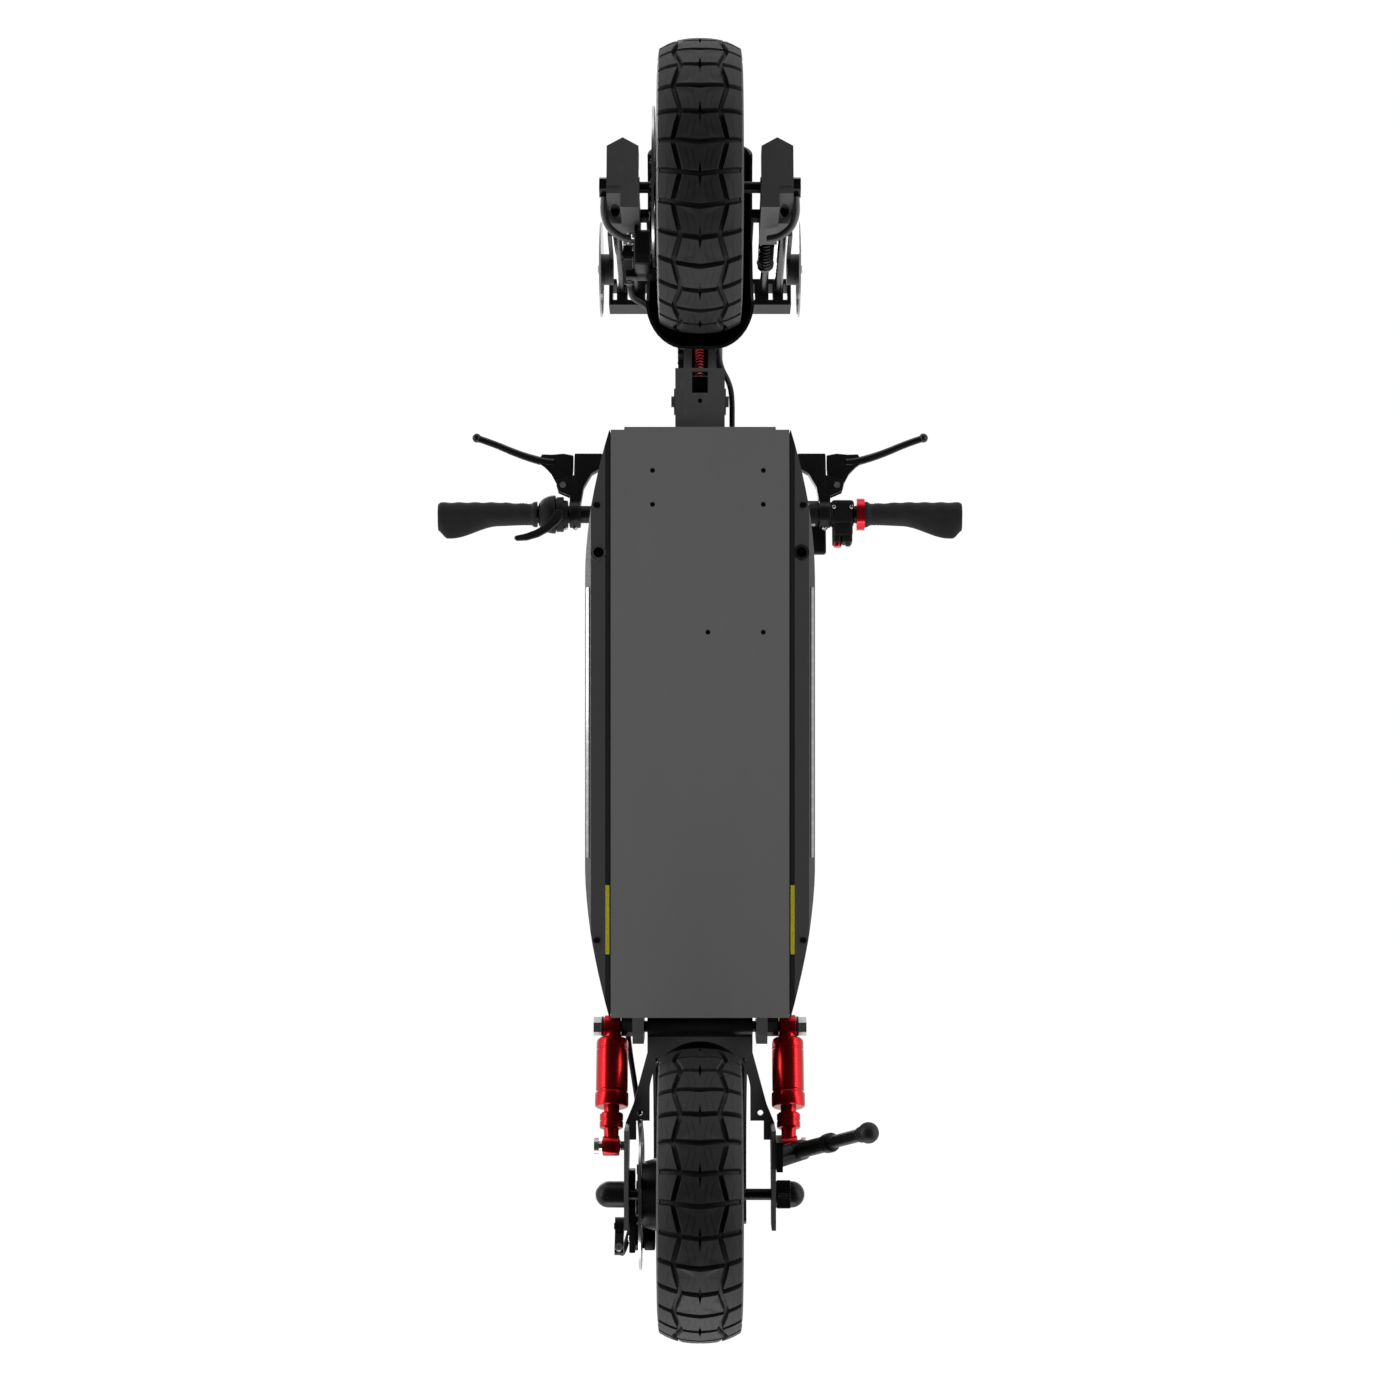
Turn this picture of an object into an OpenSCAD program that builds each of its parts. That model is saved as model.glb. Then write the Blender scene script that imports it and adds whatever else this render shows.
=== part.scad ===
// Electric kick scooter with sprung fork, swing arm, hub motors, folding stem and side stand.
// X points forward, Y to the rider's left, Z up. The origin is on the ground under the middle.

/* [Wheels] */
// Distance between the two axles
wheelbase = 886; // [780:1:960]
// Outer diameter of both tyres
tyre_d = 255; // [230:1:270]
// Width of the tyre at its sidewalls
tyre_w = 74; // [64:1:80]
// Diameter of the rim under the tyre bead
rim_d = 164; // [150:1:170]
// Diameter of the wheel axles
axle_d = 10; // [8:0.5:12]
// Diameter of the front brake disc
front_disc_d = 140; // [120:1:142]
// Diameter of the rear brake disc
rear_disc_d = 130; // [120:1:140]
// Thickness of the brake discs
disc_t = 2; // [1.6:0.1:2.2]

/* [Deck] */
// Length of the deck box
deck_l = 520; // [460:1:560]
// Width of the deck box between the side shells
deck_w = 158; // [140:1:170]
// Height of the deck's underside above the ground
deck_z = 138; // [120:1:150]
// Height of the deck box without its bottom plate
deck_h = 56; // [48:1:64]
// Wall of the deck box
deck_wall = 5; // [4:0.5:7]
// Thickness of the bottom plate
plate_t = 4; // [3:0.5:5]
// How far each side shell bulges out from the deck box
shell_w = 23; // [18:1:28]

/* [Fork and stem] */
// Lean of the steering axis from the vertical
head_angle = 11.5; // [9:0.5:14]
// How far the axle sits ahead of the steering axis
fork_off = 20; // [14:1:26]
// Distance from the centre to the middle of a fork leg
leg_y = 68; // [66:1:74]
// Height of the crown's underside above the axle, along the steering axis
crown_l = 206; // [200:1:220]
// Travel of the front suspension
fork_travel = 30; // [20:1:32]
// Radius of the steerer tube
steerer_r = 14; // [12:0.5:15]
// Length of the head tube
head_l = 82; // [70:1:100]
// Height of the handlebar above the ground
bar_z = 1100; // [960:5:1220]
// Overall width of the handlebar over the grips
bar_w = 656; // [600:2:700]
// Diameter of the handlebar
bar_d = 22; // [20:0.2:25.4]
// Diameter of the stem tube
stem_d = 38; // [34:1:44]

/* [Rear suspension] */
// Height of the swing arm's pivot
swing_z = 165; // [158:1:172]
// Height of the shaft that carries the shock absorbers
shock_z = 190; // [188:1:200]
// Distance from the centre to the middle of a shock absorber
shock_y = 79; // [78:0.5:86]
// Radius of the shock absorber's body
shock_r = 15; // [12:0.5:15.4]
// Distance between the outer faces of the swing arm's side plates
swing_w = 133; // [130:1:140]

/* [Hidden] */
$fn = 48;

// Wheels
wheel_r = tyre_d / 2;
rim_r = rim_d / 2;
axle_r = axle_d / 2;
tyre_half = tyre_w / 2;
front_x = wheelbase / 2;
rear_x = -wheelbase / 2;
flat_half = 10;
bead_y = 24;
flange_y = 27;
flange_h = 6;
drum_wall = 12;
bearing_r = 16;
bearing_w = 8;
run_gap = 0.05;
seat_gap = 0.04;
front_disc_y = 39.5;
rear_disc_y = 51;
disc_bolts = 6;
disc_bolt_r = 2.5;
disc_bolt_circle = 22;
disc_bore_r = 17.5;

// Fork, measured along and across the steering axis
sn = sin(head_angle);
cs = cos(head_angle);
fork_x = front_x - fork_off * cs;
fork_z = wheel_r - fork_off * sn;
rod_r = 4;
inner_rod_y = leg_y - 7.5;
outer_rod_y = leg_y + 6.5;
crown_h = 26;
crown_half = 13;
crown_top = crown_l + crown_h;
race_gap = 0.3;
head_l0 = crown_top + 10;
head_top = head_l0 + head_l;
head_tube_r = 25;
head_bore_r = 21;
headset_h = 10;
base_l = head_top + 2;
fold_l = base_l + 26;
fold_back = -30;
knuckle_r = 8;
fold_pin_r = 4;
ear_y = 12;
stem_r = stem_d / 2;
stem_wall = 3;
bar_r = bar_d / 2;
bar_l = (bar_z - fork_z) / cs;
half_bar = bar_w / 2;
lever_pivot = [31, fold_l - 12];
small_pin_r = 3;
spring_seat_l = 58;
spring_collar_l = 130;
caliper_pin = [-32, 26];
reflector_c = [-20, 95];

// Deck and neck
deck_rear = rear_x + 154;
deck_front = deck_rear + deck_l;
half_deck = deck_w / 2;
box_z = deck_z + plate_t;
deck_top_z = box_z + deck_h;
shell_y = half_deck + 1;
shell_out = shell_y + shell_w;
shell_z0 = box_z + 1;
taper_front = 128;
taper_rear = 128;
neck_half = 15;
neck_ear_t = 7;
neck_pin_r = 5;
neck_f0 = [deck_front + 52, deck_top_z - 20];
neck_f1 = on_steer(-18, head_l0 + 14);
neck_a = atan2(neck_f1[0] - neck_f0[0], neck_f1[1] - neck_f0[1]);

// Rear suspension
swing_x = deck_rear - 11;
shock_x = deck_rear - 14;
shaft_r = 5;
stud_r = 4;
swing_half = swing_w / 2;
swing_t = 3.8;
shock_end = [rear_x + 39, wheel_r + 22.5];
shock_len = norm([shock_end[0] - shock_x, shock_end[1] - shock_z]);
shock_a = atan2(shock_end[0] - shock_x, shock_end[1] - shock_z);
kick_pivot = [rear_x + 39, 80, 112];
foot_r = 9;
kick_splay = 30;
kick_turn = [kick_splay, 0, -12];
kick_lean = 10;
kick_off = 6;
kick_len = (kick_pivot[2] + kick_off * sin(kick_splay) - foot_r) / (cos(kick_lean) * cos(kick_splay));

// Cable routes, chosen by hand
cable_d = 5;
front_cable_route = [
    [-46, -63, 58], [-47, -63, 76], [-44, -62, 100], [-38, -59, 126], [-31, -55, 152],
    [-25, -51, 178], [-22, -47, 200], [-20, -42, 214], [-16.5, -38, 220]
];
rear_cable_route = [
    [-56, -71, 34], [-62, -70, 48], [-60, -68, 62], [-48, -64, 72], [-28, -58, 77],
    [0, -54, 79], [28, -53, 79], [56, -55, 78], [84, -59, 77], [110, -63, 76.5],
    [126, -65, 77], [136, -66, 79], [145, -66, 77.5], [149.8, -66, 73], [151.3, -66, 67]
];
neck_cable_route = [
    [0.5, 29, 48], [14, 29, 49], [30, 29, 55], [44, 28, 68], [56, 25, 88], [68, 21, 116],
    [80, 19, 148], [92, 18.5, 182], [102, 18.5, 212], [110, 19, 238], [117, 20, 254]
];
brake_cable_route = [
    [68, 119, 0], [67, 104, -1], [62, 84, -5], [54, 64, -12], [45, 46, -23],
    [36, 31, -38], [28, 20, -54], [22, 12, -68], [18.6, 8, -78]
];

// A point at x ahead of the steering axis and l along it, as world X and Z
function on_steer(x, l) = [fork_x + x * cs - l * sn, fork_z + x * sn + l * cs];

// Half-width of the deck with its side shells, at x
function plan_half(x) =
    let (f = (x - (deck_front - taper_front)) / taper_front,
         r = ((deck_rear + taper_rear) - x) / taper_rear,
         drop = f > 0 ? pow(f, 1.75) : r > 0 ? pow(r, 1.6) : 0)
    shell_out - (shell_w - 0.5) * drop;

// Turns a part drawn along Z to lie along Y
module about_y() rotate([-90, 0, 0]) children();

module rod_y(r, y0, y1) translate([0, y0, 0]) about_y() cylinder(r = r, h = y1 - y0);

module ring_y(r_out, r_in, y0, y1) {
    difference() {
        rod_y(r_out, y0, y1);
        rod_y(r_in, y0 - 1, y1 + 1);
    }
}

module hex_y(r, y0, y1) translate([0, y0, 0]) about_y() cylinder(r = r, h = y1 - y0, $fn = 6);

module box(lo, hi) translate(lo) cube(hi - lo);

// A side profile in X and Z, given a width along Y
module side_plate(points, y0, y1) {
    translate([0, y1, 0]) rotate([90, 0, 0]) linear_extrude(y1 - y0) polygon(points);
}

module both_sides() {
    children();
    mirror([0, 1, 0]) children();
}

module at_fork() translate([fork_x, 0, fork_z]) rotate([0, -head_angle, 0]) children();

module at_front() at_fork() translate([fork_off, 0, 0]) children();

module at_rear() translate([rear_x, 0, wheel_r]) children();

module at_bar() at_fork() translate([0, 0, bar_l]) children();

module at_neck() translate([neck_f0[0], 0, neck_f0[1]]) rotate([0, neck_a, 0]) children();

// A round tube swept along a route, one ring of eight points at each route point
function route_dir(p, i) =
    let (a = p[max(i - 1, 0)], b = p[min(i + 1, len(p) - 1)]) (b - a) / norm(b - a);
function route_ring(p, i, r) =
    let (d = route_dir(p, i),
         up = abs(d[2]) > 0.9 ? [1, 0, 0] : [0, 0, 1],
         u = cross(d, up) / norm(cross(d, up)),
         v = cross(d, u))
    [for (k = [0:7]) p[i] + r * (cos(45 * k) * u + sin(45 * k) * v)];
module tube(p, d) {
    n = len(p);
    points = [for (i = [0:n - 1]) each route_ring(p, i, d / 2)];
    sides = [for (i = [0:n - 2], k = [0:7]) [
        i * 8 + k, i * 8 + (k + 1) % 8, (i + 1) * 8 + (k + 1) % 8, (i + 1) * 8 + k
    ]];
    ends = [[for (k = [7:-1:0]) k], [for (k = [0:7]) (n - 1) * 8 + k]];
    polyhedron(points, concat(sides, ends), convexity = 6);
}

// A spring as one closed solid: a sleeve with a groove between each pair of turns
module spring_body(r, wire, length) {
    turns = floor(length / (wire * 2));
    pitch = length / turns;
    outside = [for (i = [0:turns - 1], c = [[0, -wire / 2], [pitch * 0.2, 0], [pitch * 0.7, 0]])
        [r + c[1], i * pitch + c[0]]];
    rotate_extrude() polygon(concat([[r - wire, 0]], outside, [[r - wire / 2, length], [r - wire, length]]));
}

// Wheels -------------------------------------------------------------------

module tyre() {
    half = [
        [rim_r, bead_y], [rim_r + flange_h + 0.5, bead_y], [rim_r + flange_h + 2, bead_y + 5],
        [wheel_r - 24, tyre_half], [wheel_r - 12, tyre_half - 1], [wheel_r - 5, tyre_half - 7],
        [wheel_r - 1.5, tyre_half - 17], [wheel_r, flat_half]
    ];
    inside = [
        [wheel_r - 10, flat_half], [wheel_r - 13, tyre_half - 14], [wheel_r - 24, tyre_half - 6],
        [rim_r + 14, bead_y + 2], [rim_r + flange_h, bead_y - 6], [rim_r, bead_y - 6]
    ];
    other = [for (i = [len(half) - 1:-1:0]) [half[i][0], -half[i][1]]];
    other_in = [for (i = [len(inside) - 1:-1:0]) [inside[i][0], -inside[i][1]]];
    color([0.05, 0.05, 0.05]) about_y() rotate_extrude($fn = 96)
        polygon(concat(half, other, other_in, inside));
}

// The motor drum, its cover with the disc's seat, the two bearings and the disc's bolts
module hub(disc_y) {
    side = rim_r - flange_h;
    color([0.1, 0.1, 0.1]) about_y() rotate_extrude($fn = 96) polygon([
        [rim_r, bead_y], [rim_r + flange_h, bead_y], [rim_r + flange_h, flange_y],
        [side, flange_y], [34, 31], [bearing_r, 31], [bearing_r, 23],
        [rim_r - drum_wall, 23], [rim_r - drum_wall, -21], [side, -21], [side, -flange_y],
        [rim_r + flange_h, -flange_y], [rim_r + flange_h, -bead_y], [rim_r, -bead_y]
    ]);
    color([0.12, 0.12, 0.12]) about_y() rotate_extrude($fn = 96) polygon([
        [bearing_r, -21 - seat_gap], [side - seat_gap, -21 - seat_gap], [side - seat_gap, -flange_y],
        [34, -30], [28, -disc_y], [bearing_r, -disc_y]
    ]);
    color("silver") for (y0 = [23, -22 - bearing_w])
        ring_y(bearing_r - seat_gap, axle_r + run_gap, y0, y0 + bearing_w);
    color("silver") for (i = [0:disc_bolts - 1]) rotate([0, i * 360 / disc_bolts, 0])
        translate([disc_bolt_circle, 0, 0]) {
            rod_y(disc_bolt_r - seat_gap, -disc_y - disc_t - 1, -disc_y - seat_gap);
            rod_y(4.4, -disc_y - disc_t - 2.6, -disc_y - disc_t - seat_gap);
        }
}

module disc(d, disc_y) {
    r = d / 2;
    y0 = -disc_y - disc_t;
    vents = 18;
    color("silver") difference() {
        rod_y(r, y0, -disc_y);
        rod_y(disc_bore_r, y0 - 1, 1 - disc_y);
        for (i = [0:disc_bolts - 1]) rotate([0, i * 360 / disc_bolts, 0]) {
            translate([disc_bolt_circle, 0, 0]) rod_y(disc_bolt_r, y0 - 1, 1 - disc_y);
            rotate([0, 12, 0]) translate([0, y0 - 1, 0]) about_y() rotate_extrude(angle = 36)
                translate([29, 0]) square([r - 19 - 29, disc_t + 2]);
        }
        for (i = [0:vents - 1]) rotate([0, i * 360 / vents, 0]) translate([r - 8, 0, 0])
            rod_y(2.6, y0 - 1, 1 - disc_y);
    }
}

module axle_and_stator(half_l) {
    color([0.15, 0.15, 0.15]) rod_y(axle_r, -half_l, half_l);
    core_r = rim_r - drum_wall - 1;
    color([0.6, 0.35, 0.15]) about_y() rotate_extrude($fn = 96) polygon([
        [axle_r + seat_gap, -8], [44, -8], [44, -18], [core_r, -18], [core_r, 20], [44, 20],
        [44, 10], [axle_r + seat_gap, 10]
    ]);
}

module front_tyre() at_front() tyre();
module rear_tyre() at_rear() tyre();
module front_hub() at_front() hub(front_disc_y);
module rear_hub() at_rear() hub(rear_disc_y);
module front_disc() at_front() disc(front_disc_d, front_disc_y);
module rear_disc() at_rear() disc(rear_disc_d, rear_disc_y);

module front_axle() at_front() {
    nut_y = leg_y + 14;
    axle_and_stator(nut_y + 5);
    color([0.1, 0.1, 0.1]) both_sides() difference() {
        hex_y(9.5, nut_y, nut_y + 6.5);
        rod_y(axle_r + seat_gap, nut_y - 1, nut_y + 5.1);
    }
}

module rear_axle() at_rear() {
    cap_r = 11.5;
    axle_and_stator(swing_half + 18);
    color([0.08, 0.08, 0.08]) both_sides() difference() {
        union() {
            rod_y(cap_r, swing_half, swing_half + 14);
            translate([0, swing_half + 14, 0]) sphere(r = cap_r);
        }
        rod_y(axle_r + seat_gap, 0, swing_half + 18.1);
    }
}

// Fork ---------------------------------------------------------------------

module shoe() {
    in_y = leg_y - 15;
    out_y = leg_y + 14;
    lug_l = [24, 44];
    difference() {
        union() {
            box([-10.5, in_y, -30], [12.5, leg_y + 1, spring_seat_l]);
            translate([fork_off, 0, 0]) rod_y(9, in_y, out_y);
            translate([0, 0, -12]) linear_extrude(20) polygon([
                [fork_off - 3, in_y + 1], [fork_off + 34, in_y + 1], [fork_off + 42, leg_y],
                [fork_off + 34, out_y], [fork_off - 3, out_y]
            ]);
            box([-8, leg_y, lug_l[0]], [8, out_y, lug_l[1]]);
            side_plate([[-8, 14], [fork_off - 10, -11], [fork_off + 3, -11], [fork_off + 5, 12], [7, 31], [-8, 31]],
                leg_y, out_y);
            box([-16, leg_y + 11, lug_l[0]], [-6, out_y, reflector_c[1]]);
            translate([reflector_c[0], 0, reflector_c[1]]) rod_y(14, leg_y + 11, leg_y + 21);
        }
        translate([fork_off, 0, 0]) rod_y(axle_r, in_y - 1, out_y + 1);
        translate([0, inner_rod_y, -22]) cylinder(r = rod_r + run_gap, h = 100);
        translate([0, outer_rod_y, -22]) cylinder(r = rod_r + run_gap, h = 100);
    }
}

module fork_shoes() color([0.14, 0.14, 0.14]) at_fork() both_sides() shoe();

module stanchions() color([0.3, 0.3, 0.3]) at_fork() both_sides() {
    for (y = [inner_rod_y, outer_rod_y]) translate([0, y, 12]) cylinder(r = rod_r, h = crown_top - 14);
    translate([0, inner_rod_y, spring_collar_l]) difference() {
        cylinder(r = 8, h = 4);
        translate([0, 0, -1]) cylinder(r = rod_r, h = 6);
    }
}

module fork_springs() color("silver") at_fork() both_sides()
    translate([0, inner_rod_y, spring_seat_l]) spring_body(7.6, 2.6, spring_collar_l - spring_seat_l);

module fork_crown() color([0.07, 0.07, 0.07]) at_fork() difference() {
    half = leg_y + 19;
    union() {
        box([-crown_half, -half, crown_l], [crown_half, half, crown_top]);
        translate([0, 0, crown_l]) cylinder(r = 24, h = crown_h);
    }
    translate([0, 0, crown_l - 1]) cylinder(r = steerer_r, h = crown_h + 2);
    both_sides() {
        for (y = [inner_rod_y, outer_rod_y]) translate([0, y, crown_l - 1])
            cylinder(r = rod_r, h = crown_top - crown_l - 1);
        for (y = [inner_rod_y - 12, leg_y - 2.5, outer_rod_y + 5])
            box([-8, y, crown_l - 1], [8, y + 4, crown_top + 1]);
    }
}

module steerer() color([0.1, 0.1, 0.1]) at_fork() {
    difference() {
        union() {
            translate([0, 0, crown_l - 4]) cylinder(r = steerer_r, h = base_l - crown_l + 8);
            translate([0, 0, crown_top]) cylinder(r = 19, h = head_l0 - crown_top - race_gap);
            box([-21, -22, base_l], [24, 22, fold_l - race_gap]);
            both_sides() {
                box([fold_back, ear_y, fold_l - knuckle_r], [-20, 22, fold_l - race_gap]);
                translate([fold_back, 0, fold_l]) rod_y(knuckle_r, ear_y, 22);
                box([23, 9.2, lever_pivot[1] - 8], [lever_pivot[0] + 6, 15, lever_pivot[1] + 6]);
            }
        }
        translate([0, 0, crown_l - 5]) cylinder(r = steerer_r - 3, h = fold_l);
    }
    translate([fold_back, 0, fold_l]) rod_y(fold_pin_r, -22, 22);
    translate([lever_pivot[0], 0, lever_pivot[1]]) rod_y(small_pin_r, -15, 15);
}

module headset_bearings() color("silver") at_fork()
    for (l = [head_l0, head_top - headset_h]) translate([0, 0, l]) difference() {
        cylinder(r = head_bore_r, h = headset_h);
        translate([0, 0, -1]) cylinder(r = steerer_r + run_gap, h = headset_h + 2);
    }

module front_fender() color([0.05, 0.05, 0.05]) at_front() {
    r = wheel_r + 11;
    t = 2.6;
    half = 48;
    start = 63;
    end = 166;
    lip = 14;
    tail = 42;
    difference() {
        rotate([0, -head_angle - end, 0]) about_y() translate([0, 0, -half]) union() {
            rotate_extrude(angle = end - start, $fn = 96) translate([r, 0]) square([t, 2 * half]);
            for (z = [0, 2 * half - t]) translate([0, 0, z])
                rotate_extrude(angle = end - start, $fn = 96) translate([r - lip, 0]) square([lip + 1, t]);
        }
        // the tail is rounded in plan, so that it turns clear of the neck
        rotate([0, 90 - head_angle - end, 0]) translate([0, 0, r - lip - 5]) linear_extrude(40) difference() {
            translate([-tail, -60]) square([tail + 2, 120]);
            translate([-tail, 0]) intersection() {
                circle(r = half, $fn = 64);
                square([2 * tail, 120], center = true);
            }
        }
    }
    // stays from the shoes to the sides of the fender
    both_sides() {
        side_plate([[-12, 96], [6, 96], [-4, 42], [-16, 42]], half - t, half);
        side_plate([[-16, 42], [-4, 42], [-8, 30], [-16, 30]], half - t, leg_y - 15);
    }
}

module fork_reflectors() color([0.8, 0.8, 0.78]) at_fork() both_sides()
    translate([reflector_c[0], 0, reflector_c[1]]) {
        rod_y(43, leg_y + 21, leg_y + 22.6);
        rod_y(4, leg_y + 22.6, leg_y + 25);
    }

module front_caliper() color([0.08, 0.08, 0.08]) at_fork() {
    difference() {
        box([-48, -58, 2], [-16, -31, 50]);
        translate([fork_off, 0, 0]) rod_y(front_disc_d / 2 + 2, -disc_t - front_disc_y - 1.5, 1.5 - front_disc_y);
        translate([fork_off, 0, 0]) rod_y(32, -front_disc_y, 0);
    }
    box([-16, -58, 10], [-10.5, -leg_y + 14, 40]);
    translate([caliper_pin[0], 0, caliper_pin[1]]) rod_y(small_pin_r, -70, -58);
}

// A caliper's brake arm, turning on its pin and reaching to the end of the cable
module caliper_arm(y0, y1, reach) color([0.12, 0.12, 0.12]) difference() {
    union() {
        rod_y(8, y0, y1);
        side_plate([[-6, -5], [7, 3], [reach[0] + 5, reach[1]], [reach[0] - 4, reach[1] - 3]], y0, y1);
        translate([reach[0], 0, reach[1]]) rod_y(5, y0, y1);
    }
    rod_y(small_pin_r + run_gap, y0 - 1, y1 + 1);
}

module front_caliper_arm() at_fork() translate([caliper_pin[0], 0, caliper_pin[1]])
    caliper_arm(-68, -60, [-14, 24]);

module front_cable() color([0.06, 0.06, 0.06]) at_fork() tube(front_cable_route, cable_d);

// Stem and handlebar ---------------------------------------------------------

module stem_tube() color([0.07, 0.07, 0.07]) at_fork() difference() {
    union() {
        box([-21, -22, fold_l + race_gap], [22, 22, fold_l + 40]);
        translate([0, 0, fold_l + 30]) cylinder(r = stem_r, h = bar_l - fold_l - 40);
        translate([fold_back, 0, fold_l]) rod_y(knuckle_r, -ear_y + race_gap, ear_y - race_gap);
        box([fold_back, race_gap - ear_y, fold_l + race_gap], [-20, ear_y - race_gap, fold_l + knuckle_r]);
        translate([0, 0, bar_l]) rod_y(bar_r + 7, -24, 24);
    }
    translate([0, 0, fold_l]) cylinder(r = stem_r - stem_wall, h = bar_l - fold_l - bar_r - 10);
    translate([fold_back, 0, fold_l]) rod_y(fold_pin_r + run_gap, -30, 30);
    translate([0, 0, bar_l]) rod_y(bar_r, -30, 30);
}

module fold_lever() color([0.5, 0.06, 0.05]) at_fork() {
    difference() {
        union() {
            translate([lever_pivot[0], 0, lever_pivot[1]]) rod_y(6, -9, 9);
            box([lever_pivot[0] - 4, -9, lever_pivot[1]], [lever_pivot[0] + 4, 9, lever_pivot[1] + 96]);
        }
        translate([lever_pivot[0], 0, lever_pivot[1]]) rod_y(small_pin_r + run_gap, -20, 20);
    }
}

module headlight() color([0.1, 0.1, 0.1]) at_fork() translate([0, 0, fold_l + 130]) {
    difference() {
        union() {
            cylinder(r = stem_r + 4, h = 24);
            translate([0, -10, 2]) cube([stem_r + 8, 20, 20]);
        }
        translate([0, 0, -1]) cylinder(r = stem_r, h = 26);
    }
    translate([stem_r + 8, 0, 12]) rotate([0, 90, 0]) cylinder(r = 24, h = 26);
}

module handlebar() color([0.1, 0.1, 0.1]) at_bar() ring_y(bar_r, bar_r - 2.2, 4 - half_bar, half_bar - 4);

// One grip, from its inner end y0 to the end of the bar, with a palm rest at the outer end
module grip(y0) color([0.05, 0.05, 0.05]) difference() {
    union() {
        about_y() translate([0, 0, y0]) rotate_extrude() polygon([
            [0, 0], [bar_r + 6, 0], [bar_r + 6, 4], [bar_r + 3.5, 8], [bar_r + 5, 40],
            [bar_r + 4, half_bar - y0 - 30], [bar_r + 5, half_bar - y0 - 3], [bar_r + 3, half_bar - y0], [0, half_bar - y0]
        ]);
        translate([0, 0, -7]) linear_extrude(14) polygon([
            [-6, half_bar - 82], [-18, half_bar - 66], [-29, half_bar - 26], [-32, half_bar - 10],
            [-28, half_bar - 1], [-6, half_bar]
        ]);
    }
    rod_y(bar_r, y0 - 1, half_bar - 4);
}

module grips() at_bar() {
    grip(206);
    mirror([0, 1, 0]) grip(204);
}
module grip_rings() color([0.7, 0.03, 0.05]) at_bar() ring_y(bar_r + 9, bar_r, 196, 206);

module throttle_body() color([0.05, 0.05, 0.05]) at_bar() {
    ring_y(24, bar_r, -202, -181);
    ring_y(18, bar_r, -181, -165.5);
}

module throttle_trigger() color([0.09, 0.06, 0.06]) at_bar() {
    ring_y(22, 18 + run_gap, -180, -171);
    difference() {
        union() {
            translate([0, 0, -32]) linear_extrude(7) polygon([
                [-2, -171], [-2, -180], [-14, -186], [-28, -204], [-36, -230],
                [-42, -228], [-36, -200], [-20, -176], [-14, -171]
            ]);
            box([-12, -180, -30], [-2, -171, -18]);
        }
        rod_y(20, -182, -170);
    }
}

module display() color([0.06, 0.06, 0.06]) at_bar() {
    box([-45, 134, 19], [24, 159, 31]);
    difference() {
        union() {
            rod_y(bar_r + 4, 136, 148);
            box([-12, 136, 8], [12, 148, 19]);
        }
        rod_y(bar_r, 130, 150);
    }
}

horn_y = 172;
light_y = 185;
pod_back = -38;
module switch_pod() color([0.06, 0.06, 0.06]) at_bar() difference() {
    box([pod_back, 164, -14], [16, 193, 14]);
    rod_y(bar_r, 160, 200);
    translate([pod_back - 1, horn_y, 0]) rotate([0, 90, 0]) cylinder(r = 5 + run_gap, h = 13);
    box([pod_back - 1, light_y - 6, -3.3], [pod_back + 6, light_y + 6, 3.3]);
}

module horn_button() color([0.7, 0.05, 0.05]) at_bar() translate([pod_back - 4, horn_y, 0])
    rotate([0, 90, 0]) cylinder(r = 5, h = 12);

module light_switch() color("silver") at_bar() box([pod_back - 4, light_y - 3, -3], [pod_back + 5.7, light_y + 3, 3]);

lever_pin = [36, 172];
lever_half = 3.2;
module lever_bracket() {
    difference() {
        union() {
            rod_y(bar_r + 6, 149.5, 163.5);
            translate([0, 0, -7]) linear_extrude(14) polygon([
                [8, 149.5], [8, 163.5], [22.5, 163.5], [29, 178], [44, 180], [47, 168], [50, 158], [78, 158],
                [78, 124], [74, 119], [62, 119], [52, 136], [34, 146]
            ]);
        }
        rod_y(bar_r, 140, 170);
        box([22, 158.5, -lever_half - 0.3], [90, 190, lever_half + 0.3]);
    }
    translate([lever_pin[0], lever_pin[1], -8]) cylinder(r = small_pin_r, h = 16);
}

module lever_brackets() color([0.06, 0.06, 0.06]) at_bar() both_sides() lever_bracket();

module brake_lever() color([0.1, 0.1, 0.1]) difference() {
    translate([0, 0, -lever_half]) union() {
        linear_extrude(2 * lever_half) polygon([
            [30, 167], [42, 164], [58, 161], [77, 161], [79, 176], [74, 190], [76, 202],
            [88, 240], [103, 274], [97, 288], [82, 252], [66, 206], [60, 192], [50, 186], [36, 179]
        ]);
        translate([lever_pin[0], lever_pin[1], 0]) cylinder(r = 7.4, h = 2 * lever_half);
        translate([100, 282, lever_half]) sphere(r = 6);
    }
    translate([lever_pin[0], lever_pin[1], -20]) cylinder(r = small_pin_r + run_gap, h = 40);
}

module brake_lever_left() at_bar() brake_lever();
module brake_lever_right() at_bar() mirror([0, 1, 0]) brake_lever();
module brake_cables() color([0.05, 0.05, 0.05]) at_bar() both_sides() tube(brake_cable_route, cable_d);

// Deck -----------------------------------------------------------------------

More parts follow.
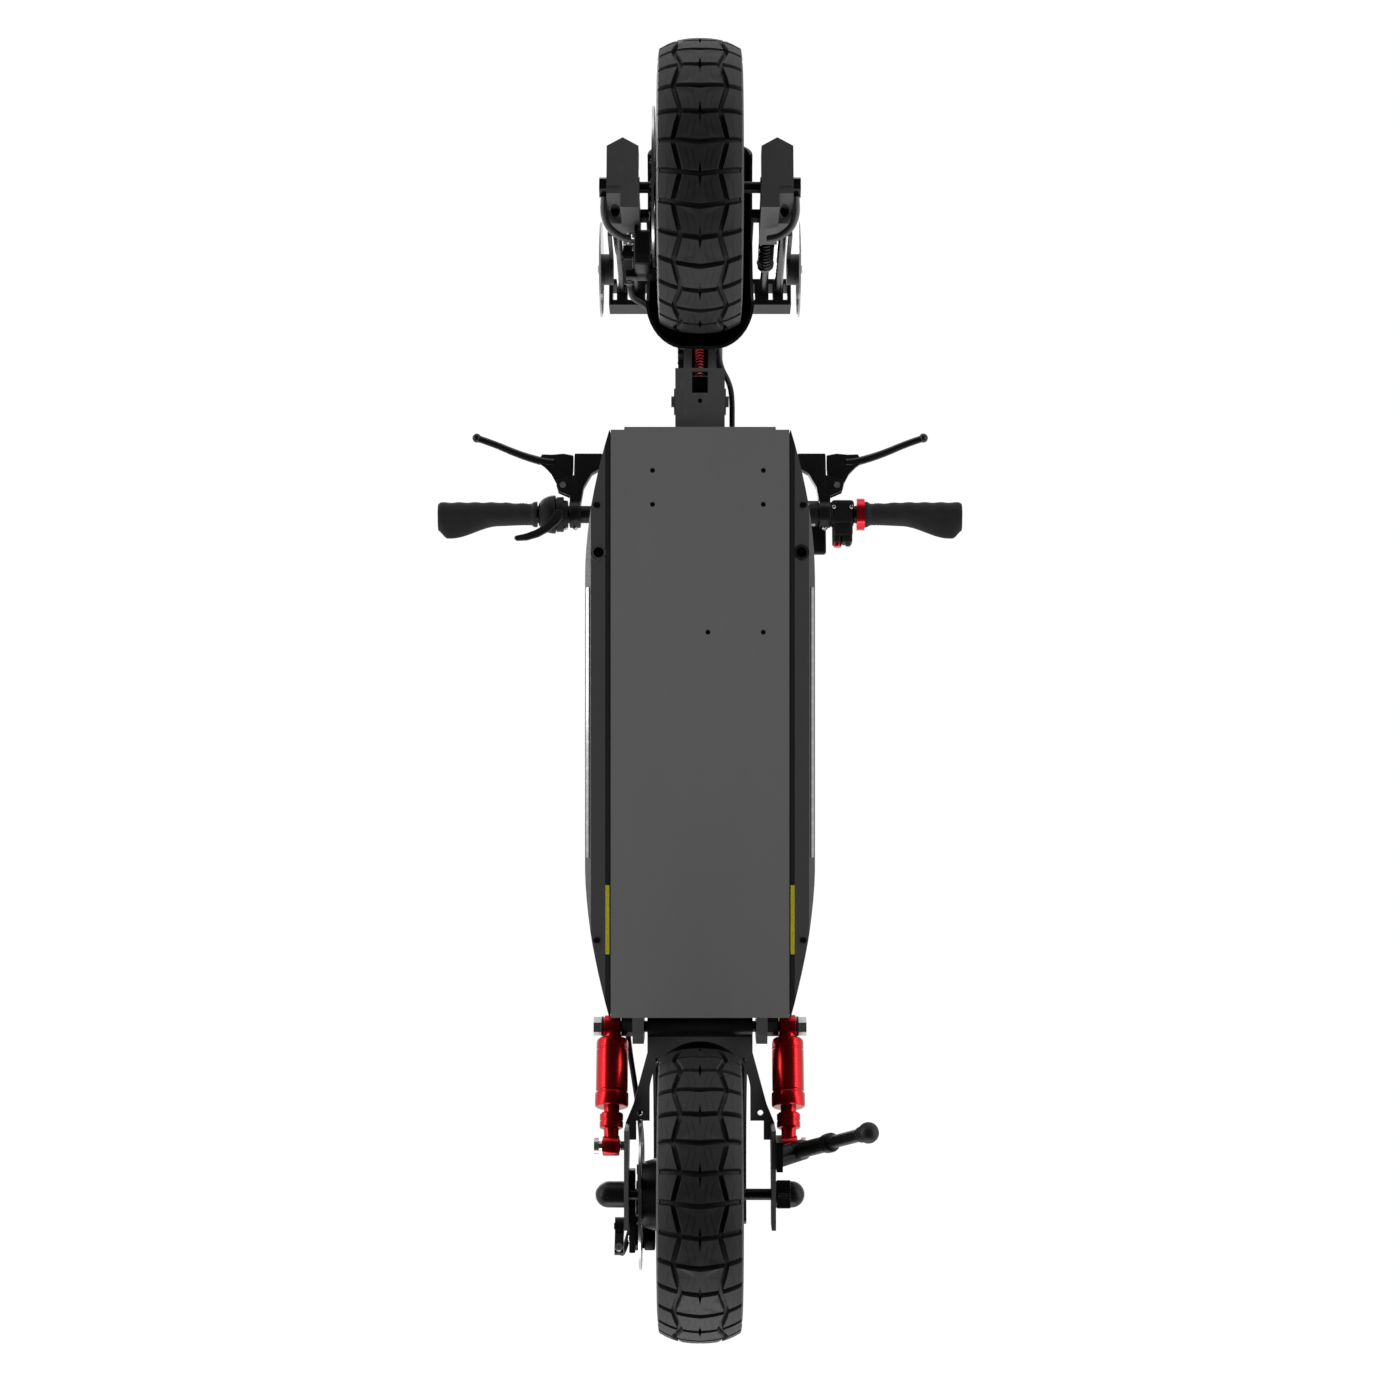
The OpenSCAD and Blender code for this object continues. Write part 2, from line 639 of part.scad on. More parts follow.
ear_in = 50;
ear_out = 60;
module deck_frame() color([0.2, 0.2, 0.2]) difference() {
    union() {
        difference() {
            box([deck_rear, -half_deck, box_z], [deck_front, half_deck, deck_top_z]);
            box([deck_rear + deck_wall, deck_wall - half_deck, box_z - 1],
                [deck_front - deck_wall, half_deck - deck_wall, deck_top_z - 4]);
        }
        both_sides() side_plate([
            [deck_rear + 1, box_z], [deck_rear - 16, box_z + 6], [deck_rear - 25, swing_z - 12],
            [deck_rear - 25, shock_z + 8], [deck_rear + 1, shock_z + 8]
        ], ear_in, ear_out);
    }
    translate([swing_x, 0, swing_z]) rod_y(shaft_r, -100, 100);
    translate([shock_x, 0, shock_z]) rod_y(shaft_r, -100, 100);
}

plate_screws = [
    [deck_front - 36, -42], [deck_front - 66, -42], [deck_front - 36, 56],
    [deck_front - 66, 56], [deck_front - 179, 7], [deck_front - 179, 56]
];
screw_r = 2.2;
module bottom_plate() color([0.34, 0.34, 0.34]) difference() {
    union() {
        box([deck_rear, -half_deck, deck_z], [deck_front, half_deck, box_z]);
        box([deck_front, -67, deck_z], [deck_front + 2.5, 67, box_z]);
    }
    for (p = plate_screws) translate([p[0], p[1], deck_z - 1]) cylinder(r = screw_r, h = plate_t + 2);
}

shell_screws = [[deck_front - 66, 92], [deck_rear + 68, 92]];
module deck_screws() color([0.03, 0.03, 0.03]) {
    for (p = plate_screws) translate([p[0], p[1], deck_z + 1]) cylinder(r = screw_r, h = plate_t + 1.5);
    both_sides() for (p = shell_screws) translate([p[0], p[1], shell_z0 + 2]) cylinder(r = 2.6, h = 8);
}

// Section of a side shell, in Y and Z
module shell_section(inset) polygon([
    [shell_y - 1, shell_z0 + inset], [shell_y + 4, shell_z0 + inset],
    [shell_y + 17, shell_z0 + 7 + inset], [shell_out - inset, shell_z0 + 25],
    [shell_out - inset, shell_z0 + 39], [shell_out - 8, deck_top_z - inset], [shell_y - 1, deck_top_z - inset]
]);

// Plan of a side shell, in X and Y
module shell_plan(inset) {
    steps = 10;
    front = [for (i = [0:steps]) let (x = deck_front - taper_front * (1 - i / steps) - inset)
        [x, plan_half(x + inset) - inset]];
    rear = [for (i = [0:steps]) let (x = deck_rear + taper_rear * (1 - i / steps) + inset)
        [x, plan_half(x - inset) - inset]];
    polygon(concat([[deck_rear + inset, shell_y - 1]], [for (i = [steps:-1:0]) rear[i]], front,
        [[deck_front - inset, shell_y - 1]]));
}

module shell_form(inset) intersection() {
    translate([0, 0, box_z - 10]) linear_extrude(deck_h + 30) shell_plan(inset);
    translate([deck_rear - 5, 0, 0]) rotate([90, 0, 90]) linear_extrude(deck_l + 10) shell_section(inset);
}

led_c = [deck_front - 259, shell_out - 2.9, shell_z0 + 16];
led_l = 241;
module side_shell() difference() {
    shell_form(0);
    translate([0, -0.01, 0]) intersection() {
        shell_form(4);
        box([deck_rear + 30, 0, 0], [deck_front - 30, 200, 400]);
    }
    box([deck_rear - 1, 0, 0], [deck_front + 1, shell_y, 400]);
    translate(led_c) rotate([-18.4, 0, 0]) translate([-led_l / 2, -1.5, -4]) cube([led_l, 10, 8]);
    translate([deck_front - 108, 90, 0]) cylinder(r = 7, h = shell_z0 + 14);
    for (p = shell_screws) translate([p[0], p[1], 0]) cylinder(r = 2.6, h = shell_z0 + 10);
}

module side_shell_left() color([0.17, 0.17, 0.17]) side_shell();
module side_shell_right() color([0.17, 0.17, 0.17]) mirror([0, 1, 0]) side_shell();

module led_strips() color([0.05, 0.05, 0.05]) both_sides()
    translate(led_c) rotate([-18.4, 0, 0]) translate([-led_l / 2, -1.5, -4]) cube([led_l, 2, 8]);

module side_reflectors() color([0.9, 0.85, 0.2]) both_sides()
    box([deck_rear + 56, shell_y + 0.2, shell_z0 - 2], [deck_rear + 117, shell_y + 3.8, shell_z0]);

module grip_mat() color([0.08, 0.08, 0.08]) box([deck_rear + 6, -half_deck + 4, deck_top_z], [deck_front - 6, half_deck - 4, deck_top_z + 3]);

module battery_pack() color([0.15, 0.3, 0.6]) box([deck_rear + 140, -62, box_z + 3], [deck_front - 30, 62, deck_top_z - 8]);

module motor_controllers() color("silver") both_sides()
    box([deck_rear + 20, 8, box_z + 3], [deck_rear + 128, 64, box_z + 36]);

module charge_ports() both_sides() color("silver") translate([deck_front - 108, 90, 0]) difference() {
    translate([0, 0, shell_z0 + 2]) cylinder(r = 7, h = 12);
    translate([0, 0, shell_z0]) cylinder(r = 4.5, h = 10);
}

neck_pin = [deck_front + 31, deck_top_z - 4];
module neck_bracket() color([0.12, 0.12, 0.12]) {
    out = neck_half + neck_ear_t;
    difference() {
        union() {
            box([deck_front, -out, box_z + 8], [deck_front + 56, out, box_z + 14]);
            box([deck_front, -out, box_z + 8], [deck_front + 6, out, deck_top_z]);
            both_sides() {
                side_plate([
                    [deck_front, box_z + 8], [deck_front + 56, box_z + 8], [deck_front + 48, deck_top_z + 6],
                    [deck_front + 16, deck_top_z + 14], [deck_front, deck_top_z]
                ], neck_half, out);
                translate([neck_pin[0], 0, neck_pin[1]]) rod_y(12, neck_half, out + 1.5);
            }
        }
        box([deck_front + 34, -7, box_z], [deck_front + 53, 7, box_z + 20]);
        translate([deck_front + 27, 0, box_z]) cylinder(r = 2, h = 30);
        translate([neck_pin[0], 0, neck_pin[1]]) rod_y(neck_pin_r, -40, 40);
    }
    translate([neck_pin[0], 0, neck_pin[1]]) rod_y(neck_pin_r, -out - 4, out + 4);
}

module neck_arm() color([0.07, 0.07, 0.07]) difference() {
    union() {
        side_plate([
            [deck_front + 14, deck_top_z - 14], neck_f0, neck_f1, on_steer(-18, head_top - 8),
            on_steer(-34, head_top - 22), [deck_front + 20, deck_top_z + 18]
        ], -neck_half, neck_half);
        at_fork() translate([0, 0, head_l0]) cylinder(r = head_tube_r, h = head_l);
    }
    at_fork() translate([0, 0, head_l0 - 1]) cylinder(r = head_bore_r, h = head_l + 2);
    at_neck() box([-17, -7.5, 2], [10, 7.5, 150]);
    translate([neck_pin[0], 0, neck_pin[1]]) rod_y(neck_pin_r, -40, 40);
}

module neck_spring() color([0.6, 0.1, 0.1]) at_neck() translate([-8, 0, 6]) spring_body(6, 2, 142);

module neck_cable() color([0.05, 0.05, 0.05]) translate([deck_front, 0, box_z]) tube(neck_cable_route, cable_d);

// Rear suspension --------------------------------------------------------------

module rear_shafts() color("silver") {
    translate([swing_x, 0, swing_z]) {
        rod_y(shaft_r, -ear_out, ear_out);
        both_sides() hex_y(8.5, ear_out, ear_out + 5);
    }
    translate([shock_x, 0, shock_z]) {
        rod_y(shaft_r, -shock_y - 16, shock_y + 16);
        both_sides() {
            ring_y(9, shaft_r + seat_gap, ear_out + seat_gap, shock_y - 8);
            ring_y(9, shaft_r + seat_gap, shock_y + 8, shock_y + 10);
            difference() {
                hex_y(8.5, shock_y + 10 + seat_gap, shock_y + 17);
                rod_y(shaft_r + seat_gap, 0, shock_y + 16.1);
            }
        }
    }
}

module swing_plan() difference() {
    half = swing_half;
    edge = [
        [swing_x + 1, 47], [deck_rear - 34, 47], [deck_rear - 80, half - 7],
        [deck_rear - 97, half], [deck_rear - 112, half]
    ];
    polygon(concat(edge, [for (i = [len(edge) - 1:-1:0]) [edge[i][0], -edge[i][1]]]));
    translate([deck_rear - 69, 0]) circle(r = 45, $fn = 96);
    translate([deck_rear - 169, -45]) square([100, 90]);
    translate([deck_rear - 195, -57]) square([100, 114]);
    for (y = [-1, 1]) {
        translate([deck_rear - 41, y * 40]) circle(r = 2.5);
        translate([deck_rear - 88, y * 54]) circle(r = 2.5);
    }
}

module swing_arm() color([0.2, 0.2, 0.2]) difference() {
    union() {
        translate([0, 0, swing_z - 2]) linear_extrude(4) swing_plan();
        translate([swing_x, 0, swing_z]) rod_y(8, -47, 47);
        both_sides() {
            side_plate([
                [deck_rear - 97, swing_z + 2], [deck_rear - 112, swing_z + 2],
                [rear_x + 12, wheel_r + 24], [rear_x - 29, wheel_r + 15], [rear_x - 29, wheel_r - 15],
                [rear_x + 58, wheel_r - 15], [deck_rear - 97, swing_z - 14]
            ], swing_half - swing_t, swing_half);
            translate([shock_end[0], 0, shock_end[1]]) {
                rod_y(stud_r, swing_half - 1, shock_y + 12);
                rod_y(7.5, shock_y + 11, shock_y + 15);
            }
        }
    }
    translate([swing_x, 0, swing_z]) rod_y(shaft_r + run_gap, -60, 60);
    at_rear() rod_y(axle_r, -100, 100);
}

module rear_fender() color([0.05, 0.05, 0.05]) at_rear() {
    r = wheel_r + 8.5;
    half = 43;
    start = 18.6;
    end = 112;
    rotate([0, -end, 0]) translate([0, -half, 0]) about_y() {
        rotate_extrude(angle = end - start, $fn = 96) translate([r, 0]) square([2.6, 2 * half]);
        for (z = [0, 2 * half - 2.6]) translate([0, 0, z])
            rotate_extrude(angle = end - start, $fn = 96) translate([r - 10, 0]) square([11, 2.6]);
    }
}

module rear_caliper() color([0.08, 0.08, 0.08]) at_rear() {
    outer = -swing_half + swing_t;
    difference() {
        union() {
            box([-56, outer, 24], [-22, -40, 58]);
            box([-54, outer, 10], [19, -57, 24]);
        }
        rod_y(rear_disc_d / 2 + 2, -rear_disc_y - disc_t - 1, 1 - rear_disc_y);
        rod_y(33, -55, 0);
    }
    translate([-36, 0, 40]) rod_y(small_pin_r, -77, outer);
}

module rear_caliper_arm() at_rear() translate([-36, 0, 40]) caliper_arm(-76, -68, [-18, -14]);

module rear_cable() color([0.05, 0.05, 0.05]) at_rear() tube(rear_cable_route, cable_d);

// The shock's own frame: from the upper shaft, with Z along the shock towards the lower bolt
module at_shock(side) translate([shock_x, side * shock_y, shock_z]) rotate([0, shock_a, 0]) children();

module shock_body(side) color([0.55, 0.03, 0.04]) at_shock(side) difference() {
    union() {
        rod_y(10.5, -7.5, 7.5);
        translate([0, 0, 5]) cylinder(r = 8, h = 10);
        translate([0, 0, 12]) cylinder(r = shock_r - 0.7, h = 50);
        translate([0, 0, 60]) cylinder(r = shock_r, h = 14);
    }
    rod_y(shaft_r + run_gap, -20, 20);
    translate([0, 0, 22]) cylinder(r = 9, h = 44);
    translate([0, 0, 60]) cylinder(r = 7 + run_gap, h = 20);
}

module shock_rod(side) color([0.55, 0.03, 0.04]) at_shock(side) difference() {
    union() {
        translate([0, 0, 32]) cylinder(r = 7, h = shock_len - 38);
        translate([0, 0, 80]) cylinder(r = 10.5, h = 13);
        translate([0, 0, shock_len]) rod_y(9, -7.5, 7.5);
    }
    translate([0, 0, shock_len]) rod_y(stud_r + 1.2, -20, 20);
}

module shock_bodies() for (side = [-1, 1]) shock_body(side);
module shock_rods() for (side = [-1, 1]) shock_rod(side);

module at_kick() translate(kick_pivot) rotate(kick_turn) children();

module kick_block() color([0.06, 0.06, 0.06]) {
    difference() {
        union() {
            box([kick_pivot[0] - 14, swing_half, 96], [kick_pivot[0] + 12, swing_half + 5.5, 134]);
            at_kick() rod_y(9, -15, -2);
        }
        box([kick_pivot[0] - 60, 0, 60], [kick_pivot[0] + 60, swing_half, 160]);
    }
    at_kick() rod_y(stud_r, -4, 15);
    at_kick() rod_y(7, 14.4, 17);
}

module kickstand() color([0.05, 0.05, 0.05]) at_kick() {
    difference() {
        union() {
            rod_y(9, -1.7, 14);
            translate([0, kick_off, 0]) rotate([0, 180 - kick_lean, 0]) {
                cylinder(r = 7, h = 62);
                cylinder(r = 5.5, h = kick_len - 4);
            }
        }
        rod_y(stud_r + run_gap, -10, 20);
    }
    translate([0, kick_off, 0]) rotate([0, 180 - kick_lean, 0]) translate([0, 0, kick_len]) sphere(r = foot_r);
}

deck_frame();
bottom_plate();
deck_screws();
side_shell_left();
side_shell_right();
led_strips();
side_reflectors();
grip_mat();
battery_pack();
motor_controllers();
charge_ports();
neck_bracket();
neck_arm();
neck_spring();
headset_bearings();
rear_shafts();
neck_cable();
steerer();
fork_crown();
stanchions();
fork_springs();
fork_shoes();
front_axle();
front_fender();
fork_reflectors();
front_caliper();
front_cable();
front_tyre();
front_hub();
front_disc();
front_caliper_arm();
swing_arm();
rear_fender();
rear_axle();
rear_caliper();
kick_block();
rear_cable();
rear_tyre();
rear_hub();
rear_disc();
rear_caliper_arm();
kickstand();
stem_tube();
handlebar();
grip_rings();
throttle_body();
display();
switch_pod();
lever_brackets();
headlight();
brake_cables();
fold_lever();
brake_lever_left();
brake_lever_right();
throttle_trigger();
horn_button();
light_switch();
shock_bodies();
shock_rods();
grips();
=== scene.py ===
"""Looks for the electric kick scooter: finishes, detailed pieces, stage and camera.

Every piece is built in millimetres in the scooter's own frame (X forward, Y to the
rider's left, Z up) and turned into metres as it is made.
"""

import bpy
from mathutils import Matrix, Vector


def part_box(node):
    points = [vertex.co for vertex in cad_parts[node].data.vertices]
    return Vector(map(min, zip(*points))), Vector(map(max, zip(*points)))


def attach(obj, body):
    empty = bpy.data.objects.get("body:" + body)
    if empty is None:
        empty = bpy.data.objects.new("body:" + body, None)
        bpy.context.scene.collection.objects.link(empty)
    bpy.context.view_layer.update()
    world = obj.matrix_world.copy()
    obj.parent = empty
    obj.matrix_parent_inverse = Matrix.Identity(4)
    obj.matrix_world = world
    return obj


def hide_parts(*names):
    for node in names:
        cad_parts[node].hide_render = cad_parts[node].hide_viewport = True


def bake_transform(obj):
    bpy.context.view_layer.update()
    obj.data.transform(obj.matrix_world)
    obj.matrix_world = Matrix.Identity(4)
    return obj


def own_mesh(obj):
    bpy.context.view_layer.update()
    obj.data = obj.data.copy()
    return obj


bl_info = {
    "name": "Kick Scooter Looks",
    "version": (1, 0, 0),
    "blender": (4, 5, 0),
    "location": "3D View > Sidebar > Scooter",
    "description": "Builds the finishes and the detailed pieces of an electric kick scooter",
    "category": "Object",
}

import math

import bmesh
import bpy
from bpy.props import FloatProperty, FloatVectorProperty, IntProperty
from mathutils import Matrix, Vector

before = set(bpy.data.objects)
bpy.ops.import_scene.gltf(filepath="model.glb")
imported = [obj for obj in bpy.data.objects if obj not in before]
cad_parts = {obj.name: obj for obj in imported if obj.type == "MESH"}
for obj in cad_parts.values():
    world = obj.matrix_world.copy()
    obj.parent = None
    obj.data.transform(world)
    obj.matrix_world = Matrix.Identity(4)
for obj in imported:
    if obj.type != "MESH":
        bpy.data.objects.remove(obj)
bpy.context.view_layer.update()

MM = 0.001


# Places ---------------------------------------------------------------------


def move(x, y, z):
    return Matrix.Translation((x, y, z))


def turn(angle, axis):
    return Matrix.Rotation(math.radians(angle), 4, axis)


def middle(node):
    """The middle of a CAD node's box, in millimetres."""
    low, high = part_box(node)
    return (low + high) / 2 / MM


HEAD_ANGLE = 11.5
FORK_OFFSET = 20.0
FRONT_HUB = move(*middle("front_tyre")) @ turn(-HEAD_ANGLE, "Y")
FORK = FRONT_HUB @ move(-FORK_OFFSET, 0, 0)
BAR = FORK @ move(0, 0, (FORK.inverted() @ middle("handlebar")).z)
REAR = move(*middle("rear_tyre"))
ALONG_Y = turn(-90, "X")
ALONG_X = turn(90, "Y")
ON_SIDE = turn(90, "X")
MIRROR = Matrix.Scale(-1, 4, (0, 1, 0))
SIDES = (1, -1)

SHOCK_TOP = Vector((-303.0, 79.0, 190.0))
SHOCK_FOOT = Vector((-404.0, 79.0, 150.0))
SHOCK_LENGTH = (SHOCK_FOOT - SHOCK_TOP).length
SHOCK_ANGLE = math.degrees(math.atan2(SHOCK_FOOT.x - SHOCK_TOP.x, SHOCK_FOOT.z - SHOCK_TOP.z))

NECK_FOOT = Vector((283.0, 0.0, 178.0))
NECK_HEAD = FORK @ Vector((-18.0, 0.0, 256.0))
NECK_ANGLE = math.degrees(math.atan2(NECK_HEAD.x - NECK_FOOT.x, NECK_HEAD.z - NECK_FOOT.z))
NECK = move(*NECK_FOOT) @ turn(NECK_ANGLE, "Y")

STAND_PIVOT = (-404.0, 80.0, 112.0)
STAND = move(*STAND_PIVOT) @ turn(-12, "Z") @ turn(30, "X")
STAND_LEG = STAND @ move(0, 6, 0) @ turn(170, "Y")
STAND_FOOT_R = 9.0
STAND_LENGTH = (STAND_PIVOT[2] + 6 * math.sin(math.radians(30)) - STAND_FOOT_R) / (
    math.cos(math.radians(10)) * math.cos(math.radians(30))
)


def shock_place(side):
    return move(SHOCK_TOP.x, side * SHOCK_TOP.y, SHOCK_TOP.z) @ turn(SHOCK_ANGLE, "Y")


# Shapes ---------------------------------------------------------------------


def smooth_path(points, steps=5):
    """Points on a curve that runs smoothly through the given points."""
    points = [Vector(p) for p in points]
    first = points[0] * 2 - points[1]
    last = points[-1] * 2 - points[-2]
    line = [first] + points + [last]
    path = []
    for i in range(1, len(line) - 2):
        a, b, c, d = line[i - 1 : i + 3]
        for k in range(steps):
            t = k / steps
            path.append(
                0.5
                * (
                    2 * b
                    + (c - a) * t
                    + (2 * a - 5 * b + 4 * c - d) * t * t
                    + (3 * b - a - 3 * c + d) * t**3
                )
            )
    path.append(points[-1])
    return path


def ease(t):
    """Rises smoothly from 0 to 1 as t goes from 0 to 1."""
    t = min(max(t, 0.0), 1.0)
    return t * t * (3 - 2 * t)


def bands(rows, count):
    """The faces between closed rings of points, ring after ring."""
    faces = []
    for row in range(rows):
        for k in range(count):
            n = (k + 1) % count
            faces.append((row * count + k, row * count + n, (row + 1) * count + n, (row + 1) * count + k))
    return faces


class Shape:
    """The points and faces of one piece, in millimetres, gathered form by form."""

    def __init__(self):
        self.points = []
        self.faces = []

    def add(self, points, faces, place=None):
        start = len(self.points)
        place = place or Matrix()
        self.points += [place @ Vector(p) for p in points]
        self.faces += [[start + i for i in face] for face in faces]
        return self

    def lathe(self, profile, place, segments=40, closed=False):
        """Turns (radius, height) pairs about the place's Z axis."""
        points, faces, rings = [], [], []
        for radius, height in profile:
            if radius < 1e-6:
                rings.append([len(points)])
                points.append((0, 0, height))
                continue
            rings.append(list(range(len(points), len(points) + segments)))
            for k in range(segments):
                a = 2 * math.pi * k / segments
                points.append((radius * math.cos(a), radius * math.sin(a), height))
        pairs = list(zip(rings, rings[1:] + rings[:1] if closed else rings[1:]))
        for low, high in pairs:
            for k in range(segments):
                n = (k + 1) % segments
                if len(low) == 1 and len(high) == 1:
                    break
                if len(low) == 1:
                    faces.append((low[0], high[n], high[k]))
                elif len(high) == 1:
                    faces.append((low[k], low[n], high[0]))
                else:
                    faces.append((low[k], low[n], high[n], high[k]))
        return self.add(points, faces, place)

    def rod(self, radius, start, end, place, edge=0.8, segments=32):
        """A round bar with eased ends."""
        edge = min(edge, radius / 2, abs(end - start) / 2)
        profile = [
            (0, start), (radius - edge, start), (radius - edge * 0.3, start + edge * 0.3),
            (radius, start + edge), (radius, end - edge), (radius - edge * 0.3, end - edge * 0.3),
            (radius - edge, end), (0, end),
        ]
        return self.lathe(profile, place, segments)

    def collar(self, outer, inner, start, end, place, edge=0.8, segments=40):
        """A ring with eased outer edges."""
        profile = [
            (inner, start), (outer - edge, start), (outer - edge * 0.3, start + edge * 0.3),
            (outer, start + edge), (outer, end - edge), (outer - edge * 0.3, end - edge * 0.3),
            (outer - edge, end), (inner, end),
        ]
        return self.lathe(profile, place, segments, closed=True)

    def ball(self, radius, place, segments=32, rows=14):
        profile = [
            (radius * math.sin(math.pi * k / rows), -radius * math.cos(math.pi * k / rows))
            for k in range(rows + 1)
        ]
        return self.lathe([(0, -radius)] + profile[1:-1] + [(0, radius)], place, segments)

    def sweep(self, path, widths, place=None, sides=12, heights=None):
        """Carries an ellipse along a path; widths and heights are half-sizes, one each or one for all."""
        count = len(path)
        path = [Vector(p) for p in path]
        widths = widths if isinstance(widths, (list, tuple)) else [widths] * count
        heights = heights or widths
        side_way = Vector((0, 0, 1))
        points = []
        for i, centre in enumerate(path):
            way = (path[min(i + 1, count - 1)] - path[max(i - 1, 0)]).normalized()
            side_way = (side_way - way * side_way.dot(way)).normalized()
            across = way.cross(side_way)
            for k in range(sides):
                a = 2 * math.pi * k / sides
                points.append(
                    centre + across * (widths[i] * math.cos(a)) + side_way * (heights[i] * math.sin(a))
                )
        faces = bands(count - 1, sides)
        faces.append(tuple(range(sides - 1, -1, -1)))
        faces.append(tuple((count - 1) * sides + k for k in range(sides)))
        return self.add(points, faces, place)

    def bevelled(self, mesh, place, edge, segments):
        """Takes in a bmesh form with its edges eased."""
        bmesh.ops.recalc_face_normals(mesh, faces=mesh.faces)
        bmesh.ops.bevel(
            mesh, geom=list(mesh.edges), offset=edge, segments=segments, profile=0.6, affect="EDGES",
            clamp_overlap=True,
        )
        mesh.verts.ensure_lookup_table()
        mesh.verts.index_update()
        self.add([v.co.copy() for v in mesh.verts], [[v.index for v in f.verts] for f in mesh.faces], place)
        mesh.free()
        return self

    def block(self, low, high, place, edge=1.5, segments=2):
        mesh = bmesh.new()
        bmesh.ops.create_cube(mesh, size=1.0)
        low, high = Vector(low), Vector(high)
        for v in mesh.verts:
            v.co = Vector((low[i] + (high[i] - low[i]) * (v.co[i] + 0.5) for i in range(3)))
        return self.bevelled(mesh, place, edge, segments)

    def plate(self, outline, bottom, top, place, edge=0.8, segments=2):
        """A flat outline in the place's X and Y, thick from bottom to top, with eased edges."""
        mesh = bmesh.new()
        low = [mesh.verts.new((x, y, bottom)) for x, y in outline]
        high = [mesh.verts.new((x, y, top)) for x, y in outline]
        mesh.faces.new(low[::-1])
        mesh.faces.new(high)
        for i in range(len(outline)):
            n = (i + 1) % len(outline)
            mesh.faces.new((low[i], low[n], high[n], high[i]))
        return self.bevelled(mesh, place, edge, segments)

    def bolt(self, place, radius=4.0, height=3.2, socket=1.7):
        """A socket-head screw standing on the place's XY plane."""
        self.lathe([
            (socket, height * 0.35), (socket, height - 0.2), (socket + 0.3, height), (radius - 0.5, height),
            (radius, height - 0.6), (radius, 0),
        ], place, 24)
        return self.lathe([(0, height * 0.35), (socket, height * 0.35)], place, 24)

    def nut(self, place, radius, bottom, top):
        """A hexagon nut with chamfered corners."""
        points = []
        levels = [(bottom, 0.93), (bottom + 0.7, 1.0), (top - 0.7, 1.0), (top, 0.93)]
        for height, scale in levels:
            for k in range(24):
                corner = radius * math.cos(math.pi / 6)
                corner /= math.cos((k * 15 + 30) % 60 * math.pi / 180 - math.pi / 6)
                reach = min(corner, radius * scale)
                a = math.radians(k * 15)
                points.append((reach * math.cos(a), reach * math.sin(a), height))
        faces = bands(3, 24)
        faces.append(tuple(range(23, -1, -1)))
        faces.append(tuple(range(72, 96)))
        return self.add(points, faces, place)

    def make(self, name, finish, body, slot, replaces=(), sharp=32):
        """Turns the shape into a piece that rides on a body."""
        mesh = bpy.data.meshes.new(name)
        mesh.from_pydata([p * MM for p in self.points], [], self.faces)
        work = bmesh.new()
        work.from_mesh(mesh)
        bmesh.ops.recalc_face_normals(work, faces=work.faces)
        limit = math.radians(sharp)
        for face in work.faces:
            face.smooth = True
        for edge in work.edges:
            edge.smooth = edge.calc_face_angle(0.0) < limit
        work.to_mesh(mesh)
        work.free()
        mesh.materials.append(finishes()[finish])
        piece = bpy.data.objects.new(name, mesh)
        bpy.context.scene.collection.objects.link(piece)
        if body:
            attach(piece, body)
        if replaces:
            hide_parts(*replaces)
        return piece


# Finishes -------------------------------------------------------------------


class Field:
    """A value that varies over a surface, with Python's arithmetic."""

    def __init__(self, finish, socket):
        self.finish = finish
        self.socket = socket

    def maths(self, operation, *values):
        return self.finish.node("ShaderNodeMath", {"operation": operation}, dict(enumerate(values)))

    def __add__(self, other):
        return self.maths("ADD", self, other)

    __radd__ = __add__

    def __sub__(self, other):
        return self.maths("SUBTRACT", self, other)

    def __rsub__(self, other):
        return self.maths("SUBTRACT", other, self)

    def __mul__(self, other):
        return self.maths("MULTIPLY", self, other)

    __rmul__ = __mul__

    def __gt__(self, other):
        return self.maths("GREATER_THAN", self, other)

    def __abs__(self):
        return self.maths("ABSOLUTE", self)

    def sine(self):
        return self.maths("SINE", self)

    def root(self):
        return self.maths("SQRT", self)

    def zigzag(self):
        """Climbs from 0 to 1 and falls back to 0, over and over."""
        return self.maths("PINGPONG", self, 1.0)

    def between(self, low, high):
        """0 below low, 1 above high, and smooth from one to the other."""
        return self.finish.node(
            "ShaderNodeMapRange", {"interpolation_type": "SMOOTHSTEP"}, {0: self, 1: low, 2: high}
        )


